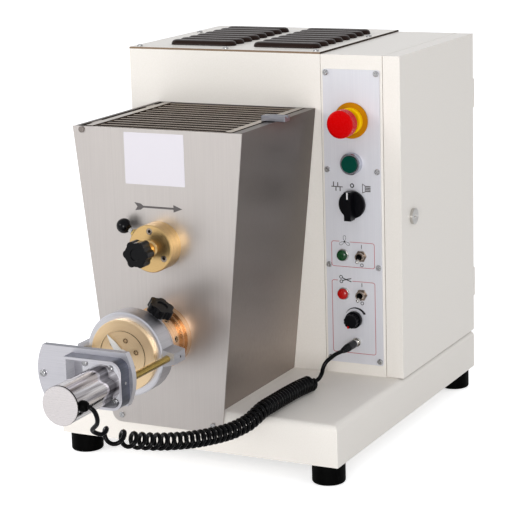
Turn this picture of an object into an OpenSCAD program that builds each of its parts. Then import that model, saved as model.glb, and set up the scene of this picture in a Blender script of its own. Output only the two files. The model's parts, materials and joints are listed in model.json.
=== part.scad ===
// Table-top electric pasta maker: kneading hopper, extrusion barrel, powered cutter and control column.
// Machine coordinates: x from the left side, y from the cabinet front (front of the machine is -y),
// z from the surface it stands on. place() moves them to the part's own origin.

/* [Base] */
// Width of the base tray and of the cabinet
base_w = 394; // [380:1:430]
// How far the base tray reaches in front of the cabinet
base_front = 213; // [205:1:222]
// Height of the base tray
base_h = 54; // [45:1:70]
// Sheet thickness of the base tray
base_sheet = 2; // [1.5:0.5:3]
// Bend radius of the base tray's top edges
base_bend = 9; // [5:1:12]
// Width of the flange turned in under the base tray
base_flange = 46; // [44:1:60]
// Height of a rubber foot
foot_h = 26; // [18:1:35]
// Diameter of a rubber foot
foot_d = 42; // [30:1:44]
// Distance of a foot's centre from the tray's side and end
foot_inset = 22.5; // [22.5:0.5:24]
// Diameter of the stud moulded in a foot
stud_d = 8; // [6:1:10]

/* [Cabinet] */
// Depth of the cabinet
cab_d = 266; // [260:1:300]
// Height of the cabinet above the base tray
cab_h = 424; // [420:1:460]
// Sheet thickness of the cabinet
sheet = 1.5; // [1:0.25:2]
// Width of the flanges turned in round the cabinet
flange = 20; // [18:1:24]
// Width of the control column, side door included
column_w = 110; // [106:1:120]
// Width of the door's front and top flanges
door_flange = 23.4; // [20:0.2:24]
// Gap round the door and beside the column
door_gap = 0.6; // [0.4:0.1:1]
// Thickness of the top cover
cover_t = 2.5; // [2:0.5:4]
// Number of louvers in each group on the cover
louver_count = 8; // [5:1:8]
// Length of one louver
louver_l = 97; // [90:1:112]
// Width of one louver
louver_w = 22; // [12:1:22]
// Height of one louver
louver_h = 6.5; // [4:0.5:8]
// Distance from one louver to the next
louver_pitch = 23.3; // [22.5:0.1:25]

/* [Door hinge and lock] */
// Outer diameter of a hinge knuckle
knuckle_d = 8; // [7:0.5:9]
// Diameter of a hinge pin
hinge_pin_d = 5; // [3:0.5:5]
// Height of one hinge knuckle
knuckle_h = 20; // [15:1:30]
// Diameter of the lock's round head
lock_d = 21; // [19:0.5:24]
// How far the lock's head stands out of the door
lock_out = 4; // [2:0.5:6]
// Diameter of the lock's body
lock_body_d = 18; // [14:0.5:18]
// Length of the lock's cam, from its axis
cam_l = 24; // [22:1:26]
// Height of the lock above the base tray
lock_z = 211; // [120:1:300]
// Distance of the lock from the cabinet front
lock_y = 38; // [36:1:60]

/* [Hopper] */
// Distance of the hopper's middle from the left side
hop_x = 158.5; // [150:0.5:165]
// Width of the hopper's body at the top
hop_top_w = 234; // [232:1:240]
// Width of the hopper's body on the base tray
hop_foot_w = 154; // [150:1:160]
// Height of the hopper above the base tray
hop_h = 353.5; // [350:0.5:370]
// Sheet thickness of the hopper
hop_sheet = 2; // [1.5:0.25:2.5]
// How far the front plate stands beyond the hopper's body on each side
plate_over = 1.5; // [0.5:0.5:4]
// How far the front plate hangs below the base tray's top
plate_drop = 28.5; // [25:0.5:40]
// Radius of the front plate's two lower corners
plate_r = 13; // [5:1:18]
// Width of the lip turned in at the top of the hopper
lip_w = 12; // [8:1:13]

/* [Mixer] */
// Height of the mixer's axis above the base tray
mix_z = 209; // [207:0.5:214]
// Diameter of the mixer's shaft
mix_shaft_d = 20; // [16:1:24]
// Radius swept by the mixer's paddles
paddle_r = 92; // [80:1:93]
// Number of paddles along the shaft
paddle_count = 6; // [4:2:8]
// Width of a paddle's blade along the shaft
paddle_w = 30; // [20:1:32]
// Diameter of a paddle's arm
arm_d = 10; // [8:1:12]
// Diameter of the bronze bearing boss
boss_d = 60; // [56:1:66]
// How far the boss stands out of the front plate
boss_t = 25; // [20:1:30]
// Diameter of the collar turned on the front of the boss
collar_d = 17; // [16:1:24]
// Length of that collar
collar_l = 16; // [12:0.5:18]
// Distance of the pull pin's ball from the mixer's axis
ball_reach = 48.5; // [46:0.5:52]
// Diameter of the pull pin's ball
ball_d = 19; // [14:0.5:20]
// Diameter of the pull pin
pin_d = 6; // [4:0.5:7]

/* [Knobs] */
// Number of lobes on a clamping knob
lobe_count = 6; // [5:1:8]
// Diameter across the mixer knob's lobes
knob_d = 35; // [34:0.5:44]
// Thickness of a knob's lobed head
knob_t = 17; // [12:1:20]
// Diameter of the stud that a knob turns on
knob_stud_d = 10; // [8:1:11]

/* [Extruder] */
// Height of the extruder's axis above the base tray
ext_z = 93; // [91:0.5:95]
// Diameter of the barrel's bore
bore_d = 48; // [40:1:50]
// Outer diameter of the barrel
barrel_d = 68; // [66:1:72]
// Diameter of the barrel's flange
barrel_flange_d = 80; // [78:1:86]
// Thickness of the barrel's flange
barrel_flange_t = 16; // [10:1:17]
// Length of the barrel in front of the hopper's plate
barrel_l = 84; // [80:1:90]
// Radial play of the screw in the barrel
screw_play = 0.5; // [0.3:0.1:1]
// Diameter of the screw's core
screw_core_d = 20; // [16:1:24]
// Pitch of the screw's thread
screw_pitch = 45; // [35:1:60]
// Outer diameter of the die ring at its front
ring_d = 105; // [102:1:110]
// Length of the die ring
ring_l = 37.5; // [36:0.5:39]
// Diameter of the die
die_d = 89; // [84:1:92]
// Thickness of the die
die_t = 17; // [14:1:20]
// How far the die stands out of its ring
die_out = 5.5; // [4:0.5:10]
// Diameter of the groove round the die's working face
die_groove_d = 63; // [60:1:72]
// Number of pasta openings in the die
nozzle_count = 6; // [4:1:8]
// Diameter of one nozzle insert
nozzle_d = 7.4; // [5:0.2:9]
// Distance of the nozzles from the die's centre
nozzle_reach = 19.5; // [15:0.5:24]

/* [Cutter] */
// Distance of each guide rod from the extruder's axis
rod_reach = 57.5; // [56:0.5:60]
// Diameter of a guide rod
rod_d = 9; // [6:0.5:10]
// Gap between the die ring and the bracket's plate
cutter_gap = 84.5; // [80:0.5:100]
// Diameter of the bracket's round plate
bracket_d = 130; // [128:1:136]
// Height of the bracket's plate between its flats
bracket_h = 64; // [62:1:70]
// Thickness of the bracket's plate
bracket_t = 8.5; // [7:0.5:9]
// Width of the motor frame on the bracket
frame_w = 77; // [77:1:84]
// Height of the motor frame on the bracket
frame_h = 59; // [58:1:66]
// Depth of the motor frame on the bracket
frame_d = 18.5; // [14:0.5:34]
// Wall thickness of the motor frame
frame_t = 3; // [2:0.5:4]
// Diameter of the cutter motor's can
can_d = 46.5; // [40:0.5:48]
// Length of the cutter motor's can
can_l = 93.5; // [80:0.5:100]
// Gear module of the cutter's two gears
cut_module = 1.25; // [1.25:0.05:1.3]
// Teeth of the gear on the cutter motor's shaft
cut_drive_teeth = 27; // [26:1:28]
// Teeth of the gear on the knife's spindle
cut_knife_teeth = 18; // [16:1:20]
// Diameter of the knife's spindle
spindle_d = 10; // [8:1:12]
// Reach of the knife's blade from the spindle's axis
knife_reach = 32; // [28:1:36]

/* [Drive] */
// Gear module of the three main gears
main_module = 4; // [4:0.01:4]
// Teeth of the gear on the extruding screw
auger_teeth = 32; // [32:1:32]
// Teeth of the gear on the motor's output shaft
pinion_teeth = 14; // [12:1:16]
// Width of the main gears
gear_w = 18; // [14:1:20]
// Diameter of the main motor
motor_d = 130; // [110:1:136]
// Length of the main motor
motor_l = 170; // [140:1:180]
// Thickness of the bearing plate
bearing_plate_t = 10; // [8:1:12]

/* [Grille lid] */
// Distance between the middles of the lid's two rails
rail_span = 196; // [190:1:196]
// Width of a rail
rail_w = 10; // [6:0.5:10]
// Height of a rail
rail_h = 9; // [8:0.5:10]
// Number of bars between the rails
bar_count = 13; // [9:1:14]
// Diameter of one bar
bar_d = 7; // [5:0.5:8]
// Diameter of the lid's pivot rod
lid_rod_d = 6; // [5:0.5:6.5]

/* [Controls] */
// Width of the panel plate
panel_w = 79; // [74:1:79]
// Height of the panel plate
panel_h = 390; // [380:1:400]
// Thickness of the panel plate
panel_t = 2; // [1.5:0.5:3]
// Diameter of the holes for the push button, selector and stop button
operator_hole_d = 22.3; // [22:0.1:23]
// Diameter of the bezels of the push button and the selector
bezel_d = 28.4; // [28:0.2:32]
// Diameter of the stop button's yellow ring
stop_ring_d = 47; // [44:1:50]
// Diameter of the stop button's mushroom head
stop_head_d = 36; // [34:1:42]
// Diameter of the start button
start_d = 22; // [18:0.5:24]
// Diameter of the selector's knob
selector_d = 36.5; // [30:0.5:40]
// Diameter of a pilot lamp
lamp_d = 14; // [10:0.5:16]
// Diameter of a toggle switch's threaded bush
toggle_d = 12; // [11:0.5:13]
// Diameter of the speed knob
speed_d = 22.6; // [18:0.2:26]
// Diameter of the panel's cord socket
jack_d = 12; // [11:0.5:14]

/* [Cord] */
// Diameter of the cord
cord_d = 5; // [4:0.25:6]
// Outer diameter of the cord's curly stretch
curl_d = 21; // [18:0.5:21]

/* [Hidden] */
$fn = 48;

// Clearances
run_gap = 0.05;   // radial play of a shaft in its bore
fit_gap = 0.1;    // play of a fixed piece in its hole
rest_gap = 0.3;   // gap between a moving piece and what it rests beside
tiny = 0.01;

// Levels and faces
deck_z = foot_h + base_h;
top_z = deck_z + cab_h;
column_x = base_w - column_w;
door_x = base_w - door_flange;
hinge_y = cab_d + knuckle_d / 2;
hinge_x = base_w - knuckle_d / 2;
plate_y = -base_front - hop_sheet;
boss_y = plate_y - boss_t;
mix_axis_z = deck_z + mix_z;
ext_axis_z = deck_z + ext_z;

// Die, bracket and cutter motor, from the barrel forwards
barrel_y = plate_y - barrel_l;
die_face_y = barrel_y - die_t;
ring_face_y = die_face_y + die_out;
bracket_back_y = ring_face_y - cutter_gap;
bracket_y = bracket_back_y - bracket_t;
can_flange_t = 5;
can_y = bracket_y - can_flange_t - can_l;
cut_centres = cut_module * (cut_drive_teeth + cut_knife_teeth) / 2;
cut_angle = -12.5;
can_x = hop_x + cut_centres * cos(cut_angle);
can_z = ext_axis_z + cut_centres * sin(cut_angle);

// Origin: middle of the bounding box, on the surface the machine stands on
origin_x = (base_w + lock_out) / 2;
origin_y = (can_y + hinge_y + knuckle_d / 2) / 2;

// ---------- helpers ----------
module place() {
  translate([-origin_x, -origin_y, 0]) children();
}

// Cylinder along y, from y0 to y1
module rod_y(r, y0, y1, r_end = -1) {
  translate([0, y0, 0]) rotate([-90, 0, 0]) cylinder(r1 = r, r2 = r_end < 0 ? r : r_end, h = y1 - y0);
}

// Profile drawn in x and z, extruded from y0 to y1
module slab_y(y0, y1) {
  translate([0, y1, 0]) rotate([90, 0, 0]) linear_extrude(y1 - y0) children();
}

// Profile drawn in y and z, extruded from x0 to x1
module slab_x(x0, x1) {
  translate([x0, 0, 0]) rotate([90, 0, 90]) linear_extrude(x1 - x0) children();
}

module box(low, high) {
  translate(low) cube(high - low);
}

// Rectangle with its two upper corners rounded
module arch(w, h, r) {
  square([w, h - r]);
  translate([r, 0]) square([w - 2 * r, h]);
  for (x = [r, w - r]) translate([x, h - r]) circle(r);
}

module rounded(w, h, r) {
  translate([r, 0]) square([w - 2 * r, h]);
  translate([0, r]) square([w, h - 2 * r]);
  for (x = [r, w - r], y = [r, h - r]) translate([x, y]) circle(r);
}

module slot(l, w) {
  translate([-(l - w) / 2, -w / 2]) square([l - w, w]);
  for (x = [-(l - w) / 2, (l - w) / 2]) translate([x, 0]) circle(w / 2);
}

// Involute gear outline, with a little backlash; a tooth points along +x when turned by 0
backlash = 0.14;
function inv(a) = tan(a) * 180 / PI - a;
function flank(base_r, r, half) = half - inv(acos(min(1, base_r / r)));
module gear(m, teeth, phase) {
  pitch_r = m * teeth / 2;
  base_r = pitch_r * cos(20);
  tip_r = pitch_r + 0.95 * m;
  root_r = pitch_r - 1.2 * m;
  start_r = max(base_r, root_r);
  half = 90 / teeth + inv(20) - backlash / pitch_r * 90 / PI;
  steps = 4;
  radii = [for (i = [0 : steps]) start_r + (tip_r - start_r) * i / steps];
  points = [for (k = [0 : teeth - 1])
    let (c = phase + k * 360 / teeth)
    each concat(
      [root_r * [cos(c - half - 0.4), sin(c - half - 0.4)]],
      [for (r = radii) r * [cos(c - flank(base_r, r, half)), sin(c - flank(base_r, r, half))]],
      [for (i = [steps : -1 : 0]) radii[i] *
        [cos(c + flank(base_r, radii[i], half)), sin(c + flank(base_r, radii[i], half))]],
      [root_r * [cos(c + half + 0.4), sin(c + half + 0.4)]])];
  polygon(points);
}

// Pan head screw along -y: its head's underside is at the origin
screw_d = 4;
screw_head_d = 7.6;
screw_head_t = 2.4;
screw_l = 8;
module screw_body() {
  difference() {
    union() {
      rod_y(screw_head_d / 2, -screw_head_t + 0.8, 0);
      rod_y(screw_head_d / 2 - 0.8, -screw_head_t, -screw_head_t + 0.8, screw_head_d / 2);
    }
    box([-2, -screw_head_t - 1, -0.4], [2, -screw_head_t + 1, 0.4]);
    box([-0.4, -screw_head_t - 1, -2], [0.4, -screw_head_t + 1, 2]);
  }
  rod_y(screw_d / 2, -tiny, screw_l);
}
module screw_hole(l) {
  rod_y(screw_d / 2 + fit_gap, -l, l);
}

// Round tube swept along points; aside is a direction that the route never runs in
function unit(v) = v / norm(v);
function tangent(p, i) = unit(p[min(i + 1, len(p) - 1)] - p[max(i - 1, 0)]);
module tube(points, r, sides, aside) {
  n = len(points);
  rings = [for (i = [0 : n - 1])
    let (t = tangent(points, i), side = unit(cross(aside, t)), up = cross(t, side))
    for (k = [0 : sides - 1]) points[i] + r * (cos(360 * k / sides) * side + sin(360 * k / sides) * up)];
  walls = [for (i = [0 : n - 2], k = [0 : sides - 1])
    let (a = i * sides + k, b = i * sides + (k + 1) % sides) each [[a, a + sides, b + sides], [a, b + sides, b]]];
  ends = [[for (k = [0 : sides - 1]) k], [for (k = [sides - 1 : -1 : 0]) (n - 1) * sides + k]];
  polyhedron(rings, concat(walls, ends), convexity = 6);
}

// ---------- base ----------
foot_xs = [foot_inset, base_w - foot_inset];
foot_ys = [-base_front + foot_inset, cab_d - foot_inset];

module tray_shape(inset, h, r) {
  intersection() {
    translate([0, 0, foot_h]) slab_y(-base_front + inset, cab_d - inset)
      translate([inset, 0]) arch(base_w - 2 * inset, h, r);
    translate([0, 0, foot_h]) slab_x(0, base_w)
      translate([-base_front + inset, 0]) arch(base_front + cab_d - 2 * inset, h, r);
  }
}

module base_tray() {
  color("ivory") place() difference() {
    tray_shape(0, base_h, base_bend);
    translate([0, 0, base_sheet]) tray_shape(base_sheet, base_h - 2 * base_sheet, base_bend - base_sheet);
    box([base_flange, -base_front + base_flange, foot_h - 1],
      [base_w - base_flange, cab_d - base_flange, foot_h + base_sheet + 1]);
    for (x = foot_xs, y = foot_ys) translate([x, y, foot_h - 1]) cylinder(d = stud_d + 2 * run_gap, h = 5);
    for (x = plate_screw_xs) translate([x, -base_front, plate_screw_z]) screw_hole(5);
  }
}

foot_round = 3;
stud_l = 10;
module feet() {
  color("black") place() for (x = foot_xs, y = foot_ys) translate([x, y, 0]) rotate_extrude() union() {
    translate([0, foot_round]) square([foot_d / 2, foot_h - foot_round]);
    square([foot_d / 2 - foot_round, foot_round + 1]);
    intersection() {
      translate([foot_d / 2 - foot_round, foot_round]) circle(foot_round);
      square([foot_d / 2, foot_h]);
    }
    square([stud_d / 2, foot_h + stud_l]);
  }
}

// ---------- cabinet ----------
shaft_hole_r = 16;
housing_w = column_x - door_gap;
module main_housing() {
  color("ivory") place() difference() {
    box([0, 0, deck_z], [housing_w, cab_d, top_z]);
    box([sheet, sheet, deck_z + sheet], [housing_w - sheet, cab_d - sheet, top_z - sheet]);
    box([flange, flange, deck_z - 1], [housing_w - flange, cab_d - flange, top_z + 1]);
    translate([hop_x, 0, mix_axis_z]) rod_y(shaft_hole_r, -1, sheet + 1);
    translate([hop_x, 0, ext_axis_z]) rod_y(shaft_hole_r, -1, sheet + 1);
    for (p = cover_screws) translate([p[0], p[1], top_z]) rotate([-90, 0, 0]) screw_hole(5);
    translate([fan_x, cab_d, fan_z]) rod_y(fan_bore_r, -5, 5);
  }
}

cover_margin = 8;
cover_side = 12;
cover_screws = [[cover_side, cover_margin], [housing_w / 2 + 1, cover_margin],
  [housing_w - cover_side + 3, cover_margin], [cover_side + 2, cab_d - 90], [housing_w - cover_side + 5, cab_d - 90]];
louver_xs = [92, 217];
louver_y0 = 42;
louver_slot_w = 10;
module louver_places() {
  for (x = louver_xs, k = [0 : louver_count - 1]) translate([x, louver_y0 + k * louver_pitch, 0]) children();
}

module top_cover() {
  color("ivory") place() difference() {
    box([0, 0, top_z], [housing_w, cab_d, top_z + cover_t]);
    translate([0, 0, top_z - 1]) linear_extrude(cover_t + 2) louver_places() slot(louver_l - 14, louver_slot_w);
    for (p = cover_screws) translate([p[0], p[1], top_z]) rotate([-90, 0, 0]) screw_hole(5);
  }
}

// Half of a louver's cross-section: a low ridge with bevelled shoulders
function ridge_half(w, h) = [[0, 0], [w / 2, 0], [w / 2 - 0.6, h * 0.45], [w / 2 - 2, h * 0.76],
  [w / 2 - 4.2, h * 0.94], [w / 2 - 6.5, h], [0, h]];

louver_skin = 1.4;
module vent_louvers() {
  straight = louver_l / 2 - louver_w / 2;
  color([0.16, 0.1, 0.08]) place() translate([0, 0, top_z + cover_t]) louver_places() difference() {
    union() {
      for (m = [0, 1]) mirror([0, m, 0]) slab_x(-straight, straight) polygon(ridge_half(louver_w, louver_h));
      for (x = [-straight, straight]) translate([x, 0, 0]) rotate_extrude() polygon(ridge_half(louver_w, louver_h));
    }
    box([-straight, 0, -1], [straight, louver_w, louver_h - louver_skin]);
  }
}

panel_x = column_x + 43;
panel_edge = 15.5;
panel_screw_x = 35.2;
panel_screw_z = 21;
panel_screw_step = 126.7;
panel_screw_zs = [for (k = [0 : 3]) deck_z + panel_screw_z + k * panel_screw_step];
plate_screw_x = 66;
plate_screw_xs = [hop_x - plate_screw_x, hop_x + plate_screw_x];
plate_screw_drop = 19;
plate_screw_z = deck_z - plate_screw_drop;

module casing_screws() {
  color("silver") place() {
    for (p = cover_screws) translate([p[0], p[1], top_z + cover_t]) rotate([-90, 0, 0]) screw_body();
    for (x = [-panel_screw_x, panel_screw_x], z = panel_screw_zs)
      translate([panel_x + x, -panel_t, z]) screw_body();
    for (x = plate_screw_xs) translate([x, plate_y, plate_screw_z]) screw_body();
  }
}

// Strip behind the door's front flange, with the lip that the lock's cam catches
door_lip_x = base_w - 8;
lip_back = 0.5;
window_w = 58;
hinge_zs = [deck_z + 50, top_z - 104];
module electrical_box() {
  strip_y = sheet + lip_back;
  color("ivory") place() {
    difference() {
      union() {
        box([column_x, 0, deck_z], [column_x + sheet, cab_d, top_z]);
        box([column_x, 0, deck_z], [door_x - door_gap, sheet, top_z]);
        box([column_x, 0, top_z - sheet], [door_x - door_gap, cab_d, top_z]);
        box([column_x, 0, deck_z], [door_x - door_gap, cab_d, deck_z + sheet]);
        box([door_x - 10, strip_y, deck_z], [door_lip_x, cab_d, deck_z + sheet]);
        box([column_x, cab_d - sheet, deck_z], [door_x - door_gap, cab_d, top_z]);
        box([door_x - 10, cab_d - sheet, deck_z], [hinge_x, cab_d, top_z - 2 * sheet - lip_back]);
        box([door_x - 8, sheet - tiny, deck_z], [door_x - 2, strip_y + sheet, top_z - 5]);
        box([door_x - 8, strip_y, deck_z], [door_lip_x, strip_y + sheet, top_z - 5]);
        box([door_lip_x - sheet, strip_y, deck_z], [door_lip_x, strip_y + 20, top_z - 5]);
      }
      box([panel_x - window_w / 2, -1, deck_z + 26], [panel_x + window_w / 2, sheet + 1, deck_z + 396]);
      for (x = [-panel_screw_x, panel_screw_x], z = panel_screw_zs)
        translate([panel_x + x, 0, z]) screw_hole(4);
      translate([column_x + 45, cab_d, deck_z + 40]) rod_y(gland_d / 2 + fit_gap, -5, 5);
    }
    for (z = hinge_zs) {
      translate([hinge_x, hinge_y, z]) cylinder(d = knuckle_d, h = knuckle_h);
      translate([hinge_x, hinge_y, z + knuckle_h - 1]) cylinder(d = hinge_pin_d, h = knuckle_h - 1);
      box([hinge_x - 9, cab_d - sheet, z], [hinge_x, cab_d + sheet, z + knuckle_h]);
    }
  }
}

module side_door() {
  bottom_z = deck_z + door_gap;
  top_door_z = top_z;
  color("ivory") place() {
    difference() {
      union() {
        box([base_w - sheet, 0, bottom_z], [base_w, cab_d, top_door_z]);
        box([door_x, 0, bottom_z], [base_w, sheet, top_door_z]);
        box([door_x, 0, top_door_z - sheet], [base_w, cab_d - sheet - rest_gap, top_door_z]);
      }
      translate([base_w, lock_y, deck_z + lock_z]) rotate([0, 90, 0])
        cylinder(d = lock_body_d + 2 * run_gap, h = 20, center = true);
    }
    for (z = hinge_zs) translate([0, 0, z + knuckle_h + 2 * rest_gap]) difference() {
      union() {
        translate([hinge_x, hinge_y, 0]) cylinder(d = knuckle_d, h = knuckle_h);
        box([base_w - sheet, cab_d - 6, 0], [base_w, hinge_y, knuckle_h]);
      }
      translate([hinge_x, hinge_y, -1]) cylinder(d = hinge_pin_d + 2 * run_gap, h = knuckle_h + 2);
    }
  }
}

cam_t = 2.5;
cam_w = 14;
module door_lock() {
  cam_x = door_lip_x - sheet - 0.5 - cam_t;
  color("silver") place() translate([0, lock_y, deck_z + lock_z]) {
    translate([base_w, 0, 0]) rotate([0, 90, 0]) difference() {
      cylinder(d = lock_d, h = lock_out);
      translate([0, 0, lock_out]) cube([1.4, 8, 3], center = true);
    }
    translate([cam_x, 0, 0]) rotate([0, 90, 0]) cylinder(d = lock_body_d, h = base_w - cam_x + tiny);
    box([cam_x, -cam_w / 2, 0], [cam_x + cam_t, cam_w / 2, cam_l]);
  }
}

contactor_w = 45;
contactor_h = 60;
contactor_zs = [deck_z + 230, deck_z + 300];
contactor_y = 100;
relay_y = 160;
contactor_depth = 55;
module contactors() {
  wall = column_x + sheet;
  nose = 15;
  color("dimgray") place() for (z = contactor_zs) {
    box([wall, contactor_y, z], [wall + contactor_depth, contactor_y + contactor_w, z + contactor_h]);
    box([wall, contactor_y + 4, z + nose], [wall + contactor_depth + 13, contactor_y + contactor_w - 4,
      z + contactor_h - nose]);
    box([wall, relay_y, z], [wall + contactor_depth + 5, relay_y + contactor_w, z + contactor_h]);
  }
}

gland_d = 20;
module mains_gland() {
  color("black") place() translate([column_x + 45, 0, deck_z + 40]) difference() {
    union() {
      rod_y(gland_d / 2, cab_d - 12, cab_d);
      rod_y(13, cab_d, cab_d + 6);
      rod_y(11, cab_d + 6 - tiny, cab_d + knuckle_d, 8);
      rod_y(13, cab_d - 12, cab_d - sheet);
    }
    rod_y(4.5, cab_d - 20, cab_d + 20);
  }
}

// ---------- hopper ----------
function hop_half(z) = (hop_foot_w + (hop_top_w - hop_foot_w) * z / hop_h) / 2;
plate_slope = (hop_top_w - hop_foot_w) / hop_h / 2;
trough_r = (hop_half(mix_z) - hop_sheet) / sqrt(1 + plate_slope * plate_slope) - 1.4;
throat_w = bore_d + 4;
lid_pivot_x = hop_x - rail_span / 2 - 7.5;
plate_foot_over = 5;
hinge_lip_w = 5;
lid_pivot_z = deck_z + hop_h - 4;

module hopper_front() {
  half_top = hop_half(hop_h) + plate_over + 0.3;
  half_low = hop_half(-plate_drop) + plate_over + plate_foot_over;
  color("silver") place() difference() {
    slab_y(plate_y, -base_front) translate([hop_x, deck_z]) union() {
      polygon([[-half_low, plate_r - plate_drop], [half_low, plate_r - plate_drop], [half_top, hop_h],
        [-half_top, hop_h]]);
      polygon([[-half_low + plate_r, -plate_drop], [half_low - plate_r, -plate_drop],
        [half_low, plate_r - plate_drop], [half_low - plate_r, plate_r], [plate_r - half_low, plate_r],
        [-half_low, plate_r - plate_drop]]);
      for (s = [-1, 1]) translate([s * (half_low - plate_r), plate_r - plate_drop]) circle(plate_r);
    }
    translate([hop_x, 0, mix_axis_z]) rod_y(boss_spigot_r + fit_gap, plate_y - 1, -base_front + 1);
    translate([hop_x, 0, ext_axis_z]) rod_y(barrel_spigot_r + fit_gap, plate_y - 1, -base_front + 1);
    for (x = plate_screw_xs) translate([x, plate_y, plate_screw_z]) screw_hole(5);
    translate([lid_pivot_x, 0, lid_pivot_z]) rod_y(lid_rod_d / 2 + fit_gap, plate_y - 1, -base_front + 1);
  }
}

module hopper_section() {
  side_top = hop_half(hop_h);
  side_low = hop_half(0);
  throat = throat_w / 2;
  for (s = [-1, 1]) scale([s, 1]) {
    polygon([[side_low - hop_sheet, 0], [side_low, 0], [side_top, hop_h], [side_top - hop_sheet, hop_h]]);
    lip = s > 0 ? lip_w : hinge_lip_w;
    polygon([[side_top - lip, hop_h - hop_sheet], [side_top - 1, hop_h - hop_sheet], [side_top, hop_h],
      [side_top - lip, hop_h]]);
    translate([throat, ext_z]) square([hop_sheet, mix_z - ext_z - trough_r + 6]);
  }
  difference() {
    translate([0, mix_z]) circle(trough_r + hop_sheet, $fn = 96);
    translate([0, mix_z]) circle(trough_r, $fn = 96);
    translate([-trough_r - 5, mix_z]) square([2 * trough_r + 10, 2 * trough_r]);
    translate([-throat, 0]) square([2 * throat, mix_z - 50]);
  }
  difference() {
    translate([0, ext_z]) circle(throat + hop_sheet);
    translate([0, ext_z]) circle(throat);
    translate([-2 * throat, ext_z]) square([4 * throat, 2 * throat]);
  }
}

module hopper_body() {
  color("silver") place() difference() {
    union() {
      slab_y(-base_front, -hop_sheet + tiny) translate([hop_x, deck_z]) hopper_section();
      slab_y(-hop_sheet, 0) translate([hop_x, deck_z]) polygon([[-hop_half(0), 0], [hop_half(0), 0],
        [hop_half(hop_h), hop_h], [-hop_half(hop_h), hop_h]]);
    }
    translate([hop_x, 0, mix_axis_z]) rod_y(mix_shaft_d / 2 + rest_gap, -5, 1);
    translate([hop_x, 0, ext_axis_z]) rod_y(journal_r + rest_gap, -5, 1);
    translate([lid_pivot_x, 0, lid_pivot_z]) rod_y(lid_rod_d / 2 + run_gap, -5, 1);
  }
}

module lid_rod() {
  color("silver") place() translate([lid_pivot_x, 0, lid_pivot_z]) {
    rod_y(lid_rod_d / 2, plate_y - tiny, -0.5);
    rod_y(lid_rod_d / 2 + 1, plate_y - 2, plate_y);
  }
}

lid_gap = 4;
knuckle_ys = [-base_front + 22, -54];
lid_knuckle_l = 24;
lid_knuckle_r = 4.6;
module lid_grille() {
  left_x = hop_x - rail_span / 2;
  right_x = hop_x + rail_span / 2;
  front_y = -base_front + lid_gap;
  back_y = -hop_sheet - lid_gap;
  rail_z = lid_pivot_z - rail_h / 2;
  bar_step = (back_y - front_y - bar_d) / (bar_count - 1);
  color("dimgray") place() difference() {
    union() {
      for (x = [left_x, right_x]) box([x - rail_w / 2, front_y, rail_z], [x + rail_w / 2, back_y, rail_z + rail_h]);
      for (k = [0 : bar_count - 1]) translate([left_x, front_y + bar_d / 2 + k * bar_step, lid_pivot_z])
        rotate([0, 90, 0]) cylinder(d = bar_d, h = rail_span);
      for (y = knuckle_ys) {
        translate([lid_pivot_x, 0, lid_pivot_z]) rod_y(lid_knuckle_r, y, y + lid_knuckle_l);
        box([lid_pivot_x, y, lid_pivot_z - 3], [left_x, y + lid_knuckle_l, lid_pivot_z + 3]);
      }
    }
    translate([lid_pivot_x, 0, lid_pivot_z]) rod_y(lid_rod_d / 2 + run_gap, -base_front, 0);
  }
}

latch_y = -base_front / 2 - 14;
latch_l = 33;
latch_w = 15;
latch_h = 7;
module lid_latch() {
  rail_top = lid_pivot_z + rail_h / 2;
  rail_mid = hop_x + rail_span / 2;
  color("silver") place() difference() {
    box([rail_mid, latch_y, rail_top], [rail_mid + latch_l, latch_y + latch_w, rail_top + latch_h]);
    box([rail_mid + 8, latch_y + 5, rail_top + latch_h - 2], [rail_mid + latch_l + 1, latch_y + 10, rail_top + 9]);
  }
}

// ---------- mixer ----------
boss_spigot_r = 17.9;
journal_r = 12;
collar_y = boss_y - collar_l;
knob_back_y = collar_y - rest_gap;
pin_angle = 150;
pin_y = boss_y + 11;
pin_in = 11;
pin_travel = 5;
sleeve_out = 5;
bolt_angles = [90, 330, 210];

module mixer_boss() {
  color("goldenrod") place() translate([hop_x, 0, mix_axis_z]) difference() {
    union() {
      rod_y(boss_d / 2, boss_y + 1, plate_y);
      rod_y(boss_d / 2 - 1, boss_y, boss_y + 1, boss_d / 2);
      rod_y(boss_spigot_r, plate_y - tiny, -base_front);
      rod_y(collar_d / 2, collar_y, boss_y - 2 + tiny);
      rod_y(collar_d / 2, boss_y - 2, boss_y + tiny, collar_d / 2 + 2);
      rod_y(knob_stud_d / 2 - run_gap, knob_back_y - 11, collar_y + tiny);
    }
    rod_y(mix_shaft_d / 2 + run_gap, boss_y + 4, -base_front + 5);
    for (a = bolt_angles) rotate([0, -a, 0]) translate([boss_d / 2 - 8, 0, 0]) {
      rod_y(4.2, boss_y - 1, boss_y + 2.4);
      rod_y(2.1, boss_y, plate_y + 1);
    }
    at_pin() cylinder(d = sleeve_d + 2 * fit_gap, h = boss_d);
  }
}

// Children stand along the pull pin, from its hole's bottom in the boss
sleeve_d = 9.5;
module at_pin() {
  translate([0, pin_y, 0]) rotate([0, 90 - pin_angle, 0]) translate([0, 0, pin_in]) children();
}

module pin_sleeve() {
  face = boss_d / 2 + sleeve_out - pin_in;
  color("goldenrod") place() translate([hop_x, 0, mix_axis_z]) at_pin() difference() {
    union() {
      cylinder(d = sleeve_d, h = face - 1);
      translate([0, 0, face - 1 - tiny]) cylinder(d1 = sleeve_d, d2 = sleeve_d - 2, h = 1);
    }
    translate([0, 0, 1]) cylinder(d = pin_d + 2 * run_gap, h = boss_d);
  }
}

module pull_pin() {
  ball_z = ball_reach - pin_in;
  color("black") place() translate([hop_x, 0, mix_axis_z]) at_pin() {
    translate([0, 0, 1.5]) cylinder(d = pin_d, h = ball_z - 2);
    translate([0, 0, ball_z]) sphere(d = ball_d);
  }
}

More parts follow.
